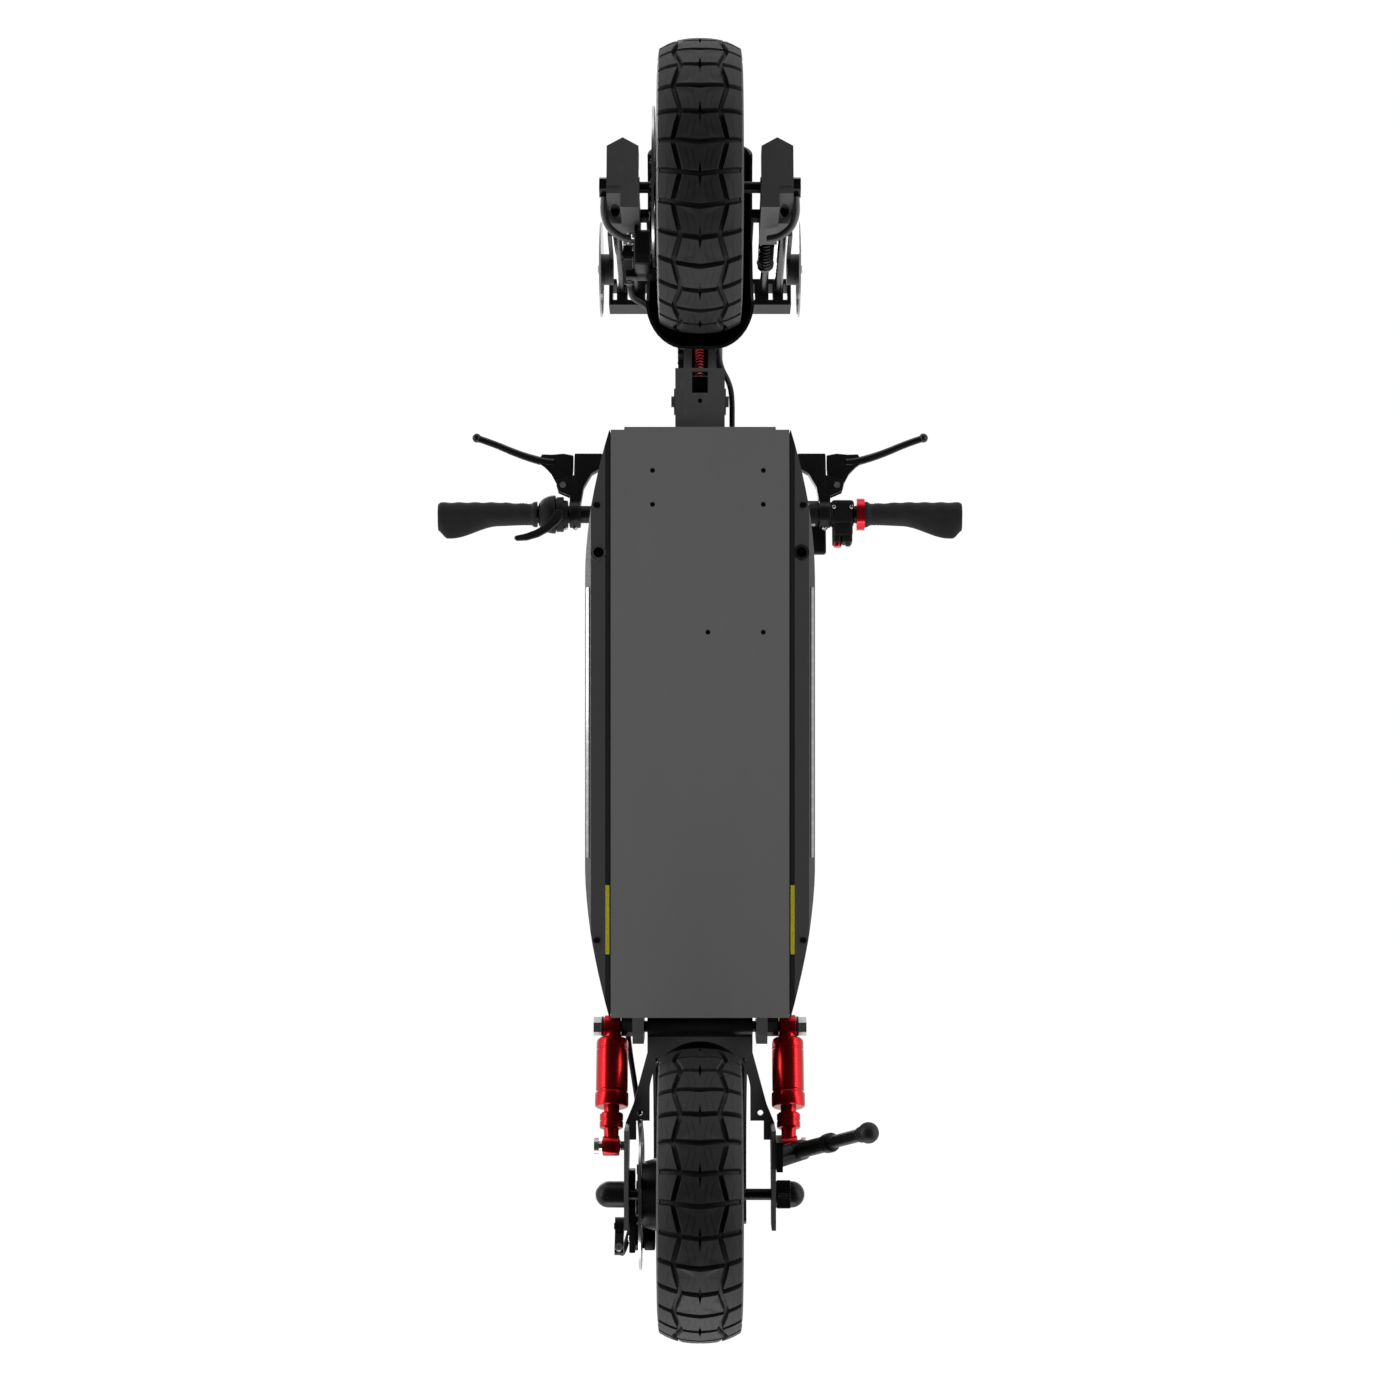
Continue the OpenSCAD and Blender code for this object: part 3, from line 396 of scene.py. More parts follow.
class Finish:
    """One material, made from nodes on the scooter's own coordinates."""

    def __init__(self, name, **sockets):
        self.material = bpy.data.materials.new(name)
        self.material.use_nodes = True
        self.tree = self.material.node_tree
        self.tree.nodes.clear()
        self.shader = self.tree.nodes.new("ShaderNodeBsdfPrincipled")
        output = self.tree.nodes.new("ShaderNodeOutputMaterial")
        self.tree.links.new(self.shader.outputs[0], output.inputs[0])
        for name_, value in sockets.items():
            self.shader.inputs[name_.replace("_", " ")].default_value = value
        self.place = self.node("ShaderNodeTexCoord", out="Object")

    def node(self, kind, settings=None, inputs=None, out=0):
        """Adds a node of a type, with its settings and its sockets' values or links."""
        made = self.tree.nodes.new(kind)
        for key, value in (settings or {}).items():
            setattr(made, key, value)
        for key, value in (inputs or {}).items():
            self.put(made.inputs[key], value)
        return Field(self, made.outputs[out])

    def put(self, socket, value):
        if isinstance(value, Field):
            self.tree.links.new(value.socket, socket)
        else:
            socket.default_value = value

    def noise(self, scale, detail=3.0, roughness=0.55, vector=None):
        return self.node(
            "ShaderNodeTexNoise", None,
            {"Vector": vector or self.place, "Scale": scale, "Detail": detail, "Roughness": roughness},
        )

    def cells(self, scale, out="Distance"):
        return self.node("ShaderNodeTexVoronoi", None, {"Vector": self.place, "Scale": scale}, out)

    def axis(self, index):
        return self.node("ShaderNodeSeparateXYZ", None, {0: self.place}, index)

    def stretched(self, scales):
        """The coordinates scaled unevenly, for brushed and drawn metal."""
        return self.node("ShaderNodeVectorMath", {"operation": "MULTIPLY"}, {0: self.place, 1: scales})

    def mix(self, factor, low, high):
        """One colour over another."""
        low = low if isinstance(low, Field) else (*low, 1.0)
        high = high if isinstance(high, Field) else (*high, 1.0)
        return self.node("ShaderNodeMix", {"data_type": "RGBA"}, {0: factor, 6: low, 7: high}, 2)

    def set(self, name, value):
        self.put(self.shader.inputs[name], value)
        return self

    def bump(self, height, strength=0.3, distance=0.0004):
        sockets = {"Strength": strength, "Distance": distance, "Height": height}
        normal = self.node("ShaderNodeBump", None, sockets)
        return self.set("Normal", normal)


def shade(colour, amount):
    """A colour made lighter or darker."""
    return tuple(min(1.0, c * amount) for c in colour[:3])


def coated(name, colour, rough=0.42, spread=0.16, grain=1500, bump=0.22, **sockets):
    """Powder coat and moulded plastic: fine orange peel, soft tone changes and handling marks."""
    f = Finish(name, **sockets)
    broad = f.noise(9, 4)
    fine = f.noise(grain, 2)
    scuffs = f.noise(60, 6, 0.7, f.stretched((1.0, 3.0, 1.6))).between(0.58, 0.78)
    tone = f.mix(broad, shade(colour, 0.86), shade(colour, 1.14))
    f.set("Base Color", f.mix(scuffs * 0.35, tone, shade(colour, 1.7)))
    f.set("Roughness", rough + (broad - 0.5) * spread + (fine - 0.5) * spread + scuffs * 0.1)
    return f.bump(fine + scuffs * 0.2, bump)


def brushed(name, colour, rough=0.28, scales=(40.0, 900.0, 900.0), **sockets):
    """Bright metal with drawn lines along one way."""
    f = Finish(name, Metallic=1.0, **sockets)
    lines = f.noise(3, 3, 0.6, f.stretched(scales))
    stains = f.noise(35, 5).between(0.45, 0.8)
    f.set("Base Color", f.mix(stains * 0.5 + lines * 0.2, colour, shade(colour, 0.6)))
    f.set("Roughness", rough + (lines - 0.5) * 0.2 + stains * 0.12)
    return f.bump(lines, 0.12, 0.0002)


def lacquer(name, colour, rough=0.24):
    """Deep gloss paint over a fine flake, with dust and rub marks."""
    f = Finish(name, Coat_Weight=0.12, Coat_Roughness=0.04, Metallic=0.9)
    flake = f.cells(2600)
    broad = f.noise(22, 4)
    rubs = f.noise(120, 6, 0.7).between(0.62, 0.8)
    tone = f.mix(broad, shade(colour, 0.75), shade(colour, 1.25))
    f.set("Base Color", f.mix(flake * 0.25, tone, shade(colour, 2.0)))
    f.set("Roughness", rough + broad * 0.08 + rubs * 0.2)
    return f.bump(broad + rubs * 0.1, 0.04, 0.0003)


def tyre_rubber():
    """Black rubber: a greyer, worn crown, painted shade in the sipes and fine mould grain."""
    f = Finish("finish_tyre_rubber", Specular_IOR_Level=0.3)
    grain = f.noise(1300, 3)
    broad = f.noise(26, 5)
    dust = f.noise(160, 6, 0.7).between(0.5, 0.75)
    base = tuple(settings().tyre_colour)
    tone = f.mix(broad, shade(base, 0.75), shade(base, 1.3))
    # short curved sipes that lean one way in every row of blocks and back in the next, painted near-black as
    # the shade inside the cuts
    hub = FRONT_HUB.translation * MM
    out, along, up = abs(f.axis(1)), abs(f.axis(0)) - hub.x, f.axis(2) - hub.z
    around = up.maths("ARCTAN2", up, along)
    lean = (around * (settings().tread_pairs / math.pi)).zigzag()
    length = lean.between(0.1, 0.3) * (1 - lean.between(0.72, 0.86))
    sipe_shade = sum(
        (1 - abs(out - start - lean * lean * swing).between(0.0002, 0.0007)) * length
        for start, swing in ((0.0036, 0.0052), (0.0086, 0.0062), (0.0268, 0.0042))
    )
    # near-black painted shade in the sipes, laid over the rubber's tone and dust
    f.set("Base Color", f.mix(sipe_shade, f.mix(dust * 0.3, tone, (0.04, 0.038, 0.036)), (0.002, 0.002, 0.002)))
    f.set("Roughness", 0.55 + (grain - 0.5) * 0.2 + dust * 0.15)
    return f.bump(grain * 0.6 + broad * 0.5, 0.3)


def grip_rubber():
    """Soft grip rubber with a fine diamond texture."""
    f = Finish("finish_grip_rubber", Specular_IOR_Level=0.12)
    x, y, z = f.axis(0), f.axis(1), f.axis(2)
    weave = ((x + z + y) * 2600).sine() * ((x + z - y) * 2600).sine()
    broad = f.noise(40, 4)
    tone = f.mix(broad, (0.008, 0.008, 0.008), (0.02, 0.02, 0.021))
    f.set("Base Color", f.mix((weave * 0.5 + 0.5) * 0.4, tone, (0.03, 0.03, 0.03)))
    f.set("Roughness", 0.55 + weave * 0.06 + (broad - 0.5) * 0.2)
    return f.bump(weave, 0.35, 0.0005)


def deck_mat():
    """Black grip mat with long ribs, and grit between them."""
    f = Finish("finish_deck_mat", Specular_IOR_Level=0.35)
    ribs = (f.axis(1) * 1050).sine().between(-0.3, 0.3)
    grit = f.noise(900, 4, 0.7)
    tread = f.noise(7, 5).between(0.4, 0.7)
    tone = f.mix(ribs, (0.006, 0.006, 0.006), (0.018, 0.018, 0.018))
    f.set("Base Color", f.mix(tread * grit * 0.6, tone, (0.06, 0.058, 0.054)))
    f.set("Roughness", 0.7 + (grit - 0.5) * 0.3)
    return f.bump(ribs + grit * 0.4, 0.8, 0.0012)


def plate_grey():
    """Flat grey coat on the bottom plate, with faint marks along the ride direction."""
    f = Finish("finish_bottom_plate", Specular_IOR_Level=0.25)
    base = tuple(settings().plate_colour)
    fine = f.noise(1400, 2)
    drawn = f.noise(2.5, 5, 0.6, f.stretched((3.0, 22.0, 1.0)))
    patch = f.noise(6, 4)
    marks = f.noise(4, 6, 0.7, f.stretched((8.0, 160.0, 1.0))).between(0.6, 0.78)
    tone = f.mix(drawn * 0.5 + patch * 0.5, shade(base, 0.93), shade(base, 1.07))
    f.set("Base Color", f.mix(marks * 0.16, tone, shade(base, 1.4)))
    f.set("Roughness", 0.62 + (patch - 0.5) * 0.1 + (fine - 0.5) * 0.1)
    return f.bump(fine, 0.12)


def turned_steel(name, centre):
    """Stainless disc with fine rings round its own centre, and heat tint."""
    f = Finish(name, Metallic=1.0)
    x, z = f.axis(0) - centre.x * MM, f.axis(2) - centre.z * MM
    reach = (x * x + z * z).root()
    ring_line = f.node("ShaderNodeCombineXYZ", None, {0: reach * 9000, 1: f.axis(1) * 40})
    rings = f.noise(1.0, 3, 0.6, ring_line)
    swept = reach.between(0.047, 0.05)
    f.set("Base Color", f.mix(rings * 0.4 + swept * 0.2, (0.62, 0.61, 0.6), (0.38, 0.37, 0.36)))
    f.set("Roughness", 0.34 + (rings - 0.5) * 0.25 - swept * 0.1)
    return f.bump(rings, 0.15, 0.0002)


def reflector(name, colour, rough=0.18):
    """Prismatic reflector plastic: small cells under a clear face."""
    f = Finish(name, Coat_Weight=0.6, Coat_Roughness=0.08)
    cells = f.cells(900)
    haze = f.noise(80, 4)
    f.set("Base Color", f.mix(cells.between(0.1, 0.7), colour, shade(colour, 0.75)))
    f.set("Roughness", rough + haze * 0.12)
    return f.bump(cells, 0.3, 0.0004)


def light_strip():
    """Dark tinted strip with a row of cells showing faintly through it."""
    f = Finish("finish_light_strip", Coat_Weight=0.8, Coat_Roughness=0.1)
    row = (f.axis(0) * 520).sine().between(0.2, 0.9)
    haze = f.noise(60, 4)
    f.set("Base Color", f.mix(row, (0.006, 0.006, 0.007), (0.05, 0.05, 0.055)))
    f.set("Roughness", 0.25 + haze * 0.15)
    return f.bump(row + haze * 0.3, 0.1)


def socket_metal():
    """The charge sockets: bright on the rider's right, black on the left, each with painted shade in its
    mouth.
    """
    f = Finish("finish_charge_socket")
    left = f.axis(1) > 0.0
    wear = f.noise(700, 4)
    x, y = f.axis(0) - 0.123, abs(f.axis(1)) - 0.09
    # inside this ring the socket's mouth is painted dark as shade in the hole
    mouth_shade_edge = (x * x + y * y).root().between(0.0042, 0.0049)
    f.set("Base Color", f.mix(left + 1 - mouth_shade_edge > 0.5, (0.7, 0.7, 0.7), (0.008, 0.008, 0.008)))
    f.set("Metallic", 1 - left)
    f.set("Roughness", 0.2 + wear * 0.15 + left * 0.25)
    return f.bump(wear, 0.08)


def two_metals(name, dark, bright, edge, black_from=1.0):
    """Dark coat inboard, black on the cross tube ahead of a place, bright zinc beyond a width."""
    f = Finish(name)
    outboard = abs(f.axis(1)) > edge
    fine = f.noise(1500, 2)
    broad = f.noise(18, 4)
    tone = f.mix(broad, shade(dark, 0.8), shade(dark, 1.2))
    tone = f.mix(f.axis(0) > black_from, tone, (0.006, 0.006, 0.006))
    f.set("Base Color", f.mix(outboard, tone, f.mix(fine, bright, shade(bright, 0.7))))
    f.set("Metallic", outboard * 0.95)
    f.set("Roughness", 0.42 + (broad - 0.5) * 0.15 + (fine - 0.5) * 0.12 - outboard * 0.14)
    return f.bump(fine, 0.2)


def glass_face():
    """Black display glass with faint wipe marks."""
    f = Finish("finish_display_glass", Coat_Weight=1.0, Coat_Roughness=0.03)
    wipes = f.noise(30, 5, 0.6, f.stretched((4.0, 14.0, 1.0)))
    f.set("Base Color", f.mix(wipes, (0.004, 0.004, 0.005), (0.01, 0.011, 0.013)))
    f.set("Roughness", 0.05 + wipes * 0.12)
    return f.bump(wipes, 0.02)


def lamp_lens():
    """Clear lamp lens over a bright bowl, with fine flutes."""
    f = Finish("finish_lamp_lens", Coat_Weight=1.0, Coat_Roughness=0.04)
    flutes = (f.axis(1) * 1800).sine()
    haze = f.noise(90, 4)
    f.set("Base Color", f.mix(flutes * 0.5 + 0.5, (0.5, 0.52, 0.55), (0.78, 0.8, 0.82)))
    f.set("Roughness", 0.1 + haze * 0.15)
    return f.bump(flutes, 0.3, 0.0004)


def settings():
    return bpy.context.scene.scooter_looks


_made = {}


def finishes():
    """All the finishes, made once."""
    if _made:
        return _made
    look = settings()
    frame_grey = tuple(look.frame_colour)
    shell_grey = tuple(look.shell_colour)
    made = {
        "frame_grey": coated("finish_frame_grey", frame_grey, 0.46, Specular_IOR_Level=0.35),
        "shell": coated("finish_side_shell", shell_grey, 0.55, 0.12, 1900, 0.3, Specular_IOR_Level=0.16),
        "plate": plate_grey(),
        "black_coat": coated("finish_black_coat", (0.006, 0.006, 0.006), 0.34, Specular_IOR_Level=0.16),
        "black_plastic": coated("finish_black_plastic", (0.006, 0.006, 0.006), 0.5, 0.14, 1700, 0.3,
                                Specular_IOR_Level=0.14),
        "black_gloss": coated("finish_black_gloss", (0.006, 0.006, 0.006), 0.26, 0.1, 1200, 0.06,
                              Coat_Weight=0.15, Coat_Roughness=0.1, Specular_IOR_Level=0.3),
        "tyre": tyre_rubber(),
        "grip": grip_rubber(),
        "foot": coated("finish_stand_foot", (0.008, 0.008, 0.008), 0.45, 0.2, 900, 0.4,
                       Specular_IOR_Level=0.2),
        "mat": deck_mat(),
        "steel": brushed("finish_zinc_steel", (0.58, 0.58, 0.57), 0.3),
        "rod": brushed("finish_ground_rod", (0.055, 0.055, 0.055), 0.24, (900.0, 900.0, 40.0)),
        "front_disc": turned_steel("finish_front_disc", FRONT_HUB.translation),
        "rear_disc": turned_steel("finish_rear_disc", REAR.translation),
        "shock_red": lacquer("finish_shock_red", tuple(look.shock_colour)),
        "ring_red": lacquer("finish_ring_red", tuple(look.ring_colour), 0.24),
        "spring_red": lacquer("finish_spring_red", tuple(look.ring_colour), 0.3),
        "yellow": reflector("finish_yellow_reflector", tuple(look.reflector_colour)),
        "clear": reflector("finish_clear_reflector", (0.62, 0.62, 0.6)),
        "strip": light_strip(),
        "socket": socket_metal(),
        "shafts": two_metals("finish_rear_shafts", (0.014, 0.014, 0.014), (0.6, 0.6, 0.58), 0.0888),
        "swing": two_metals("finish_swing_arm", frame_grey, (0.6, 0.6, 0.58), 0.0705, -0.309),
        "glass": glass_face(),
        "lens": lamp_lens(),
        "battery": coated("finish_battery_wrap", (0.03, 0.08, 0.25), 0.4, 0.2, 300, 0.3),
        "case": brushed("finish_controller_case", (0.45, 0.45, 0.46), 0.4),
    }
    _made.update({key: value.material for key, value in made.items()})
    return _made


NODE_FINISHES = {
    "frame_grey": ("deck_frame", "neck_bracket", "fork_shoes"),
    "plate": ("bottom_plate",),
    "shell": ("side_shell_left", "side_shell_right"),
    "swing": ("swing_arm",),
    "shafts": ("rear_shafts",),
    "socket": ("charge_ports",),
    "strip": ("led_strips",),
    "yellow": ("side_reflectors",),
    "clear": ("fork_reflectors",),
    "mat": ("grip_mat",),
    "battery": ("battery_pack",),
    "case": ("motor_controllers",),
    "steel": ("headset_bearings", "light_switch"),
    "rod": ("stanchions",),
    "front_disc": ("front_disc",),
    "rear_disc": ("rear_disc",),
    "ring_red": ("grip_rings", "horn_button"),
    "black_plastic": ("rear_fender", "headlight"),
    "black_coat": (
        "deck_screws", "neck_arm", "steerer", "fork_crown", "front_axle", "front_hub", "rear_hub",
        "front_caliper_arm", "rear_caliper_arm", "rear_axle", "kick_block", "stem_tube", "handlebar",
        "fold_lever",
    ),
}


# Operators ------------------------------------------------------------------


class SCOOTER_OT_finishes(bpy.types.Operator):
    """Puts a finish on every piece of the frame that keeps its own shape"""

    bl_idname = "scooter.finishes"
    bl_label = "Frame finishes"

    def execute(self, context):
        made = finishes()
        for finish, nodes in NODE_FINISHES.items():
            for name in nodes:
                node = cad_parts[name]
                if not node.material_slots:
                    node.data.materials.append(made[finish])
                for slot in node.material_slots:
                    slot.material = made[finish]
        return {"FINISHED"}


class SCOOTER_OT_tyres(bpy.types.Operator):
    """Makes both tyres, with their tread blocks"""

    bl_idname = "scooter.tyres"
    bl_label = "Tyres"

    radius = 127.5
    half = 36.8

    def crown(self, y):
        """Radius of the tread's surface at a distance from the middle."""
        return self.radius - 9.8 * (abs(y) / self.half) ** 2.5

    def tread_block(self, shape, place, corners, depth):
        """One block between corners given as (Y in mm, angle in degrees)."""
        edge = []
        for i, start in enumerate(corners):
            end = corners[(i + 1) % len(corners)]
            steps = max(1, int(abs(end[0] - start[0]) / 5 + abs(end[1] - start[1]) / 4))
            for k in range(steps):
                t = k / steps
                edge.append((start[0] + (end[0] - start[0]) * t, start[1] + (end[1] - start[1]) * t))
        middle_y = sum(p[0] for p in edge) / len(edge)
        middle_a = sum(p[1] for p in edge) / len(edge)
        per_degree = math.radians(self.radius)
        points = []

        def lay(y, angle, drop):
            r = self.crown(y) - drop
            a = math.radians(angle)
            points.append((r * math.cos(a), y, r * math.sin(a)))

        for inset, drop in ((-0.5, depth), (0.35, 0.9), (0.9, 0.0)):
            for y, angle in edge:
                dy, da = middle_y - y, (middle_a - angle) * per_degree
                reach = math.hypot(dy, da)
                t = inset / max(reach, 1.0)
                lay(y + dy * t, angle + (middle_a - angle) * t, drop)
        count = len(edge)
        lay(middle_y, middle_a, 0.0)
        faces = bands(2, count)
        for k in range(count):
            faces.append((2 * count + k, 2 * count + (k + 1) % count, 3 * count))
        shape.add(points, faces, place)

    def tread(self, shape, place, pairs, groove, depth):
        """Pairs of rows: the centre narrows at one slot and widens at the next."""
        pitch = 360 / pairs / 2
        gap = math.degrees(groove / self.radius) / 2
        lag = 2.0
        for i in range(pairs):
            for row in (0, 1):
                start = (2 * i + row) * pitch
                wide = ((15.0, 20.5), (20.5, 15.0))[row]
                low, high = start + gap, start + pitch - gap

                def at(y, angle):
                    return (y, angle + lag * abs(y) / self.half)

                for side in SIDES:
                    # the shoulder block, set off from the centre by a broad groove
                    shoulder = (wide[0] + 3.8, wide[1] + 3.8)
                    self.tread_block(shape, place, [
                        at(side * shoulder[0], low), at(side * 35.6, low),
                        at(side * 36.1, start + pitch * 0.5),
                        at(side * 35.6, high), at(side * shoulder[1], high),
                    ], depth)
                # the centre block, with a V cut into its narrow end
                cut = pitch * 0.34
                narrow_low = [at(-1.3, low), at(0, low + cut), at(1.3, low)] if not row else [at(0, low)]
                narrow_high = [at(1.3, high), at(0, high - cut), at(-1.3, high)] if row else [at(0, high)]
                self.tread_block(shape, place, [
                    at(-wide[0], low), *narrow_low, at(wide[0], low),
                    at(wide[1], high), *narrow_high, at(-wide[1], high),
                ], depth)

    def execute(self, context):
        look = settings()
        depth = look.tread_depth / MM
        half_profile = [
            (82.3, 24.0), (88.6, 24.2), (90.2, 28.6), (94.0, 31.6), (95.0, 32.9), (96.2, 32.6),
            (100.5, 35.0), (105.0, 36.2), (106.2, 36.9), (107.4, 36.4), (111.5, 36.2), (115.0, 34.6),
        ]
        crown = [(self.crown(y) - depth + 0.6, y) for y in (33.0, 29.0, 24.0, 18.0, 12.0, 6.0, 0.0)]
        half_profile += crown
        profile = half_profile + [(r, -y) for r, y in half_profile[-2::-1]]
        wheels = (("front", FRONT_HUB, "front_wheel"), ("rear", REAR, "rear_wheel"))
        for name, place, body in wheels:
            place = move(*place.translation)
            shape = Shape()
            shape.lathe(profile, place @ ALONG_Y, 180, closed=True)
            self.tread(shape, place, look.tread_pairs, look.groove_width / MM, depth)
            shape.make(f"{name}_tyre_with_tread", "tyre", body, "tyre", [f"{name}_tyre"], sharp=24)
        return {"FINISHED"}


class SCOOTER_OT_springs(bpy.types.Operator):
    """Winds the fork springs and the spring in the neck"""

    bl_idname = "scooter.springs"
    bl_label = "Springs"

    def coil(self, shape, place, radius, wire, low, high, turns):
        """A compression spring whose end turns lie close together."""
        path, steps = [], 20
        count = int(turns * steps)
        dead = wire / (high - low)
        for i in range(count + 1):
            t = i / count
            turned = t * turns
            free = (turned - 1) / (turns - 2)
            share = turned * dead if turned < 1 else dead + free * (1 - 2 * dead)
            share = 1 - (turns - turned) * dead if turned > turns - 1 else share
            a = 2 * math.pi * turned
            rise = low + wire / 2 + share * (high - low - wire)
            path.append((radius * math.cos(a), radius * math.sin(a), rise))
        shape.sweep(path, wire / 2, place, 10)

    def execute(self, context):
        springs = Shape()
        for side in SIDES:
            self.coil(springs, FORK @ move(0, side * 60.5, 0), 6.2, 2.4, 58, 130, 10.5)
        piece = springs.make("fork_coils", "black_gloss", "fork", "steel", ["fork_springs"])
        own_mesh(piece)
        neck = Shape()
        self.coil(neck, NECK @ move(-8, 0, 0), 4.7, 2.5, 6, 148, 13)
        neck.make("neck_coil", "spring_red", "chassis", "spring_red", ["neck_spring"])
        core = Shape().rod(3.2, 6.5, 147, NECK @ move(-8, 0, 0))
        core.make("neck_spring_core", "steel", "chassis", "steel")
        return {"FINISHED"}


class SCOOTER_OT_shocks(bpy.types.Operator):
    """Makes the two red shock absorbers"""

    bl_idname = "scooter.shocks"
    bl_label = "Shock absorbers"

    def execute(self, context):
        bodies, rods, bushes = Shape(), Shape(), Shape()
        for side in SIDES:
            place = shock_place(side)
            bodies.collar(10.5, 5.1, -7.5, 7.5, place @ ALONG_Y, 1.2)
            bodies.lathe([
                (0, 5), (7, 5), (8, 8), (8, 11.2), (12.4, 11.8), (13.8, 13.0), (14.3, 15.0), (14.3, 20.5),
                (13.7, 21.0), (13.7, 22.2), (14.3, 22.7), (14.3, 58.8), (13.6, 59.6), (13.6, 60.8),
                (14.7, 61.5), (15.0, 62.4), (15.0, 71.8), (14.6, 73.2), (13.6, 74.0), (7.1, 74.0),
                (7.1, 62.0), (0, 62.0),
            ], place, 56)
            rods.lathe([
                (0, 34), (6.4, 34), (7, 34.6), (7, 79.4), (9.7, 79.8), (10.5, 80.8), (10.5, 85.4),
                (10.0, 85.9), (10.0, 87.0), (10.5, 87.5), (10.5, 92.0), (9.8, 93.0), (7.2, 93.6),
                (6.6, 95.0), (6.6, SHOCK_LENGTH - 6), (0, SHOCK_LENGTH - 6),
            ], place, 48)
            rods.collar(9.0, 5.3, -7.5, 7.5, place @ move(0, 0, SHOCK_LENGTH) @ ALONG_Y, 1.2)
            bushes.collar(5.3, 4.3, -8.1, 8.1, place @ move(0, 0, SHOCK_LENGTH) @ ALONG_Y, 0.3)
        bodies.make("shock_cylinders", "shock_red", "shock_bodies", "shock_red", ["shock_bodies"])
        rods.make("shock_lower_ends", "shock_red", "shock_rods", "shock_red", ["shock_rods"])
        bushes.make("shock_bushes", "black_coat", "shock_rods", "shock_red")
        return {"FINISHED"}


class SCOOTER_OT_grips(bpy.types.Operator):
    """Sculpts the two grips, with their finger ribs and palm rests"""

    bl_idname = "scooter.grips"
    bl_label = "Grips"

    end = 328.0

    def grip(self, shape, start, place):
        sides, stations = 40, 70
        points = []
        for i in range(stations + 1):
            y = start + (self.end - start) * i / stations
            out = y - start
            core = 17.0 - 2.6 * ease((out - 3) / 5) + 1.3 * ease((out - 14) / 40)
            core -= 1.4 * ease((y - (self.end - 3.5)) / 3.5)
            palm = ease((y - 252) / 60) * (1 - 0.55 * ease((y - 316) / 12))
            for k in range(sides):
                a = 2 * math.pi * k / sides
                front, back = max(math.cos(a), 0), max(-math.cos(a), 0)
                rib = 0.9 * (0.5 + 0.5 * math.cos(2 * math.pi * (y - 222) / 20)) * ease(front * 2.5)
                rib *= ease((out - 10) / 6)
                band = 0.35 * math.sin((y - start) * 1.9) * ease((out - 12) / 4) * (1 - ease((out - 34) / 4))
                x = (core - 0.9 + rib + band) * math.cos(a) - palm * 16.5 * back**1.3
                z = (core - 0.6 + band) * math.sin(a) * (1 - 0.32 * palm * back)
                points.append((x, y, z))
        faces = bands(stations, sides)
        faces.append(tuple(range(sides)))
        faces.append(tuple(stations * sides + k for k in range(sides)))
        shape.add(points, faces, place)

    def execute(self, context):
        shape = Shape()
        self.grip(shape, 206.2, BAR)
        self.grip(shape, 204.2, BAR @ MIRROR)
        shape.make("sculpted_grips", "grip", "stem", "grip_rubber", ["grips"], sharp=50)
        caps = Shape()
        for place in (BAR, BAR @ MIRROR):
            caps.rod(8.5, 326, 328, place @ ALONG_Y, 0.6)
        caps.make("bar_end_caps", "black_plastic", "stem", "black_plastic")
        return {"FINISHED"}


class SCOOTER_OT_levers(bpy.types.Operator):
    """Makes the brake levers, their brackets and the cable adjusters"""

    bl_idname = "scooter.levers"
    bl_label = "Brake levers"

    def execute(self, context):
        brackets, screws = Shape(), Shape()
        for side, place in (("left", BAR), ("right", BAR @ MIRROR)):
            brackets.collar(17, 11.05, 149.5, 163.5, place @ ALONG_Y, 1.2)
            brackets.plate([
                (12, 149.6), (12, 158.4), (50, 158.4), (78, 158.0), (78, 124), (74, 119), (62, 119),
                (52, 136), (34, 146),
            ], -7, 7, place, 1.6)
            for low, high in ((3.6, 7), (-7, -3.6)):
                brackets.plate([
                    (13, 156), (13, 163.4), (22.5, 163.5), (29, 178), (36, 180.5), (44, 179.5), (47, 168),
                    (50, 157),
                ], low, high, place, 0.9)
            brackets.lathe([
                (2.8, 0), (5.2, 0), (5.2, 5), (4.4, 5.6), (4.4, 7), (5.0, 7.6), (5.0, 11), (3.6, 12),
                (2.8, 12),
            ], place @ move(68, 119.5, 0) @ turn(90, "X"), 24, closed=True)
            screws.rod(2.9, -8, 8, place @ move(36, 172, 0), 0.3)
            screws.bolt(place @ move(36, 172, 7), 4.6, 2.2)
            screws.nut(place @ move(36, 172, 0), 4.4, -9.4, -7)
            screws.bolt(place @ move(-17, 156.5, 0) @ turn(-90, "Y"), 3.4, 2.6)
            lever = Shape()
            lever.plate([
                (31, 168), (36, 164.8), (42, 160.6), (58, 159.4), (76.4, 159.4), (78.9, 172), (77.5, 186),
                (78, 199), (67.5, 205), (61, 196), (52, 187.5), (36, 179.2), (30.4, 175),
            ], -3.2, 3.2, place, 1.1, 3)
            path = smooth_path([
                (67.5, 184, 0), (68.4, 194, 0), (71, 205, 0), (76, 221, 0), (82.5, 238, 0), (89, 253, 0),
                (94.5, 267, 0), (98.4, 278, 0), (100, 283, 0),
            ])
            last = len(path) - 1
            wide = [5.4 - 0.9 * ease(i / last * 1.4) for i in range(last + 1)]
            thick = [5.2 - 1.0 * ease(i / last) for i in range(last + 1)]
            lever.sweep(path, wide, place, 16, thick)
            lever.ball(5.9, place @ move(100, 282, 0))
            lever.make(
                f"{side}_lever_blade", "black_gloss", f"brake_lever_{side}", "black_metal",
                [f"brake_lever_{side}"], sharp=40,
            )
        brackets.make("lever_clamps", "black_coat", "stem", "black_metal", ["lever_brackets"])
        screws.make("lever_screws", "steel", "stem", "steel")
        return {"FINISHED"}


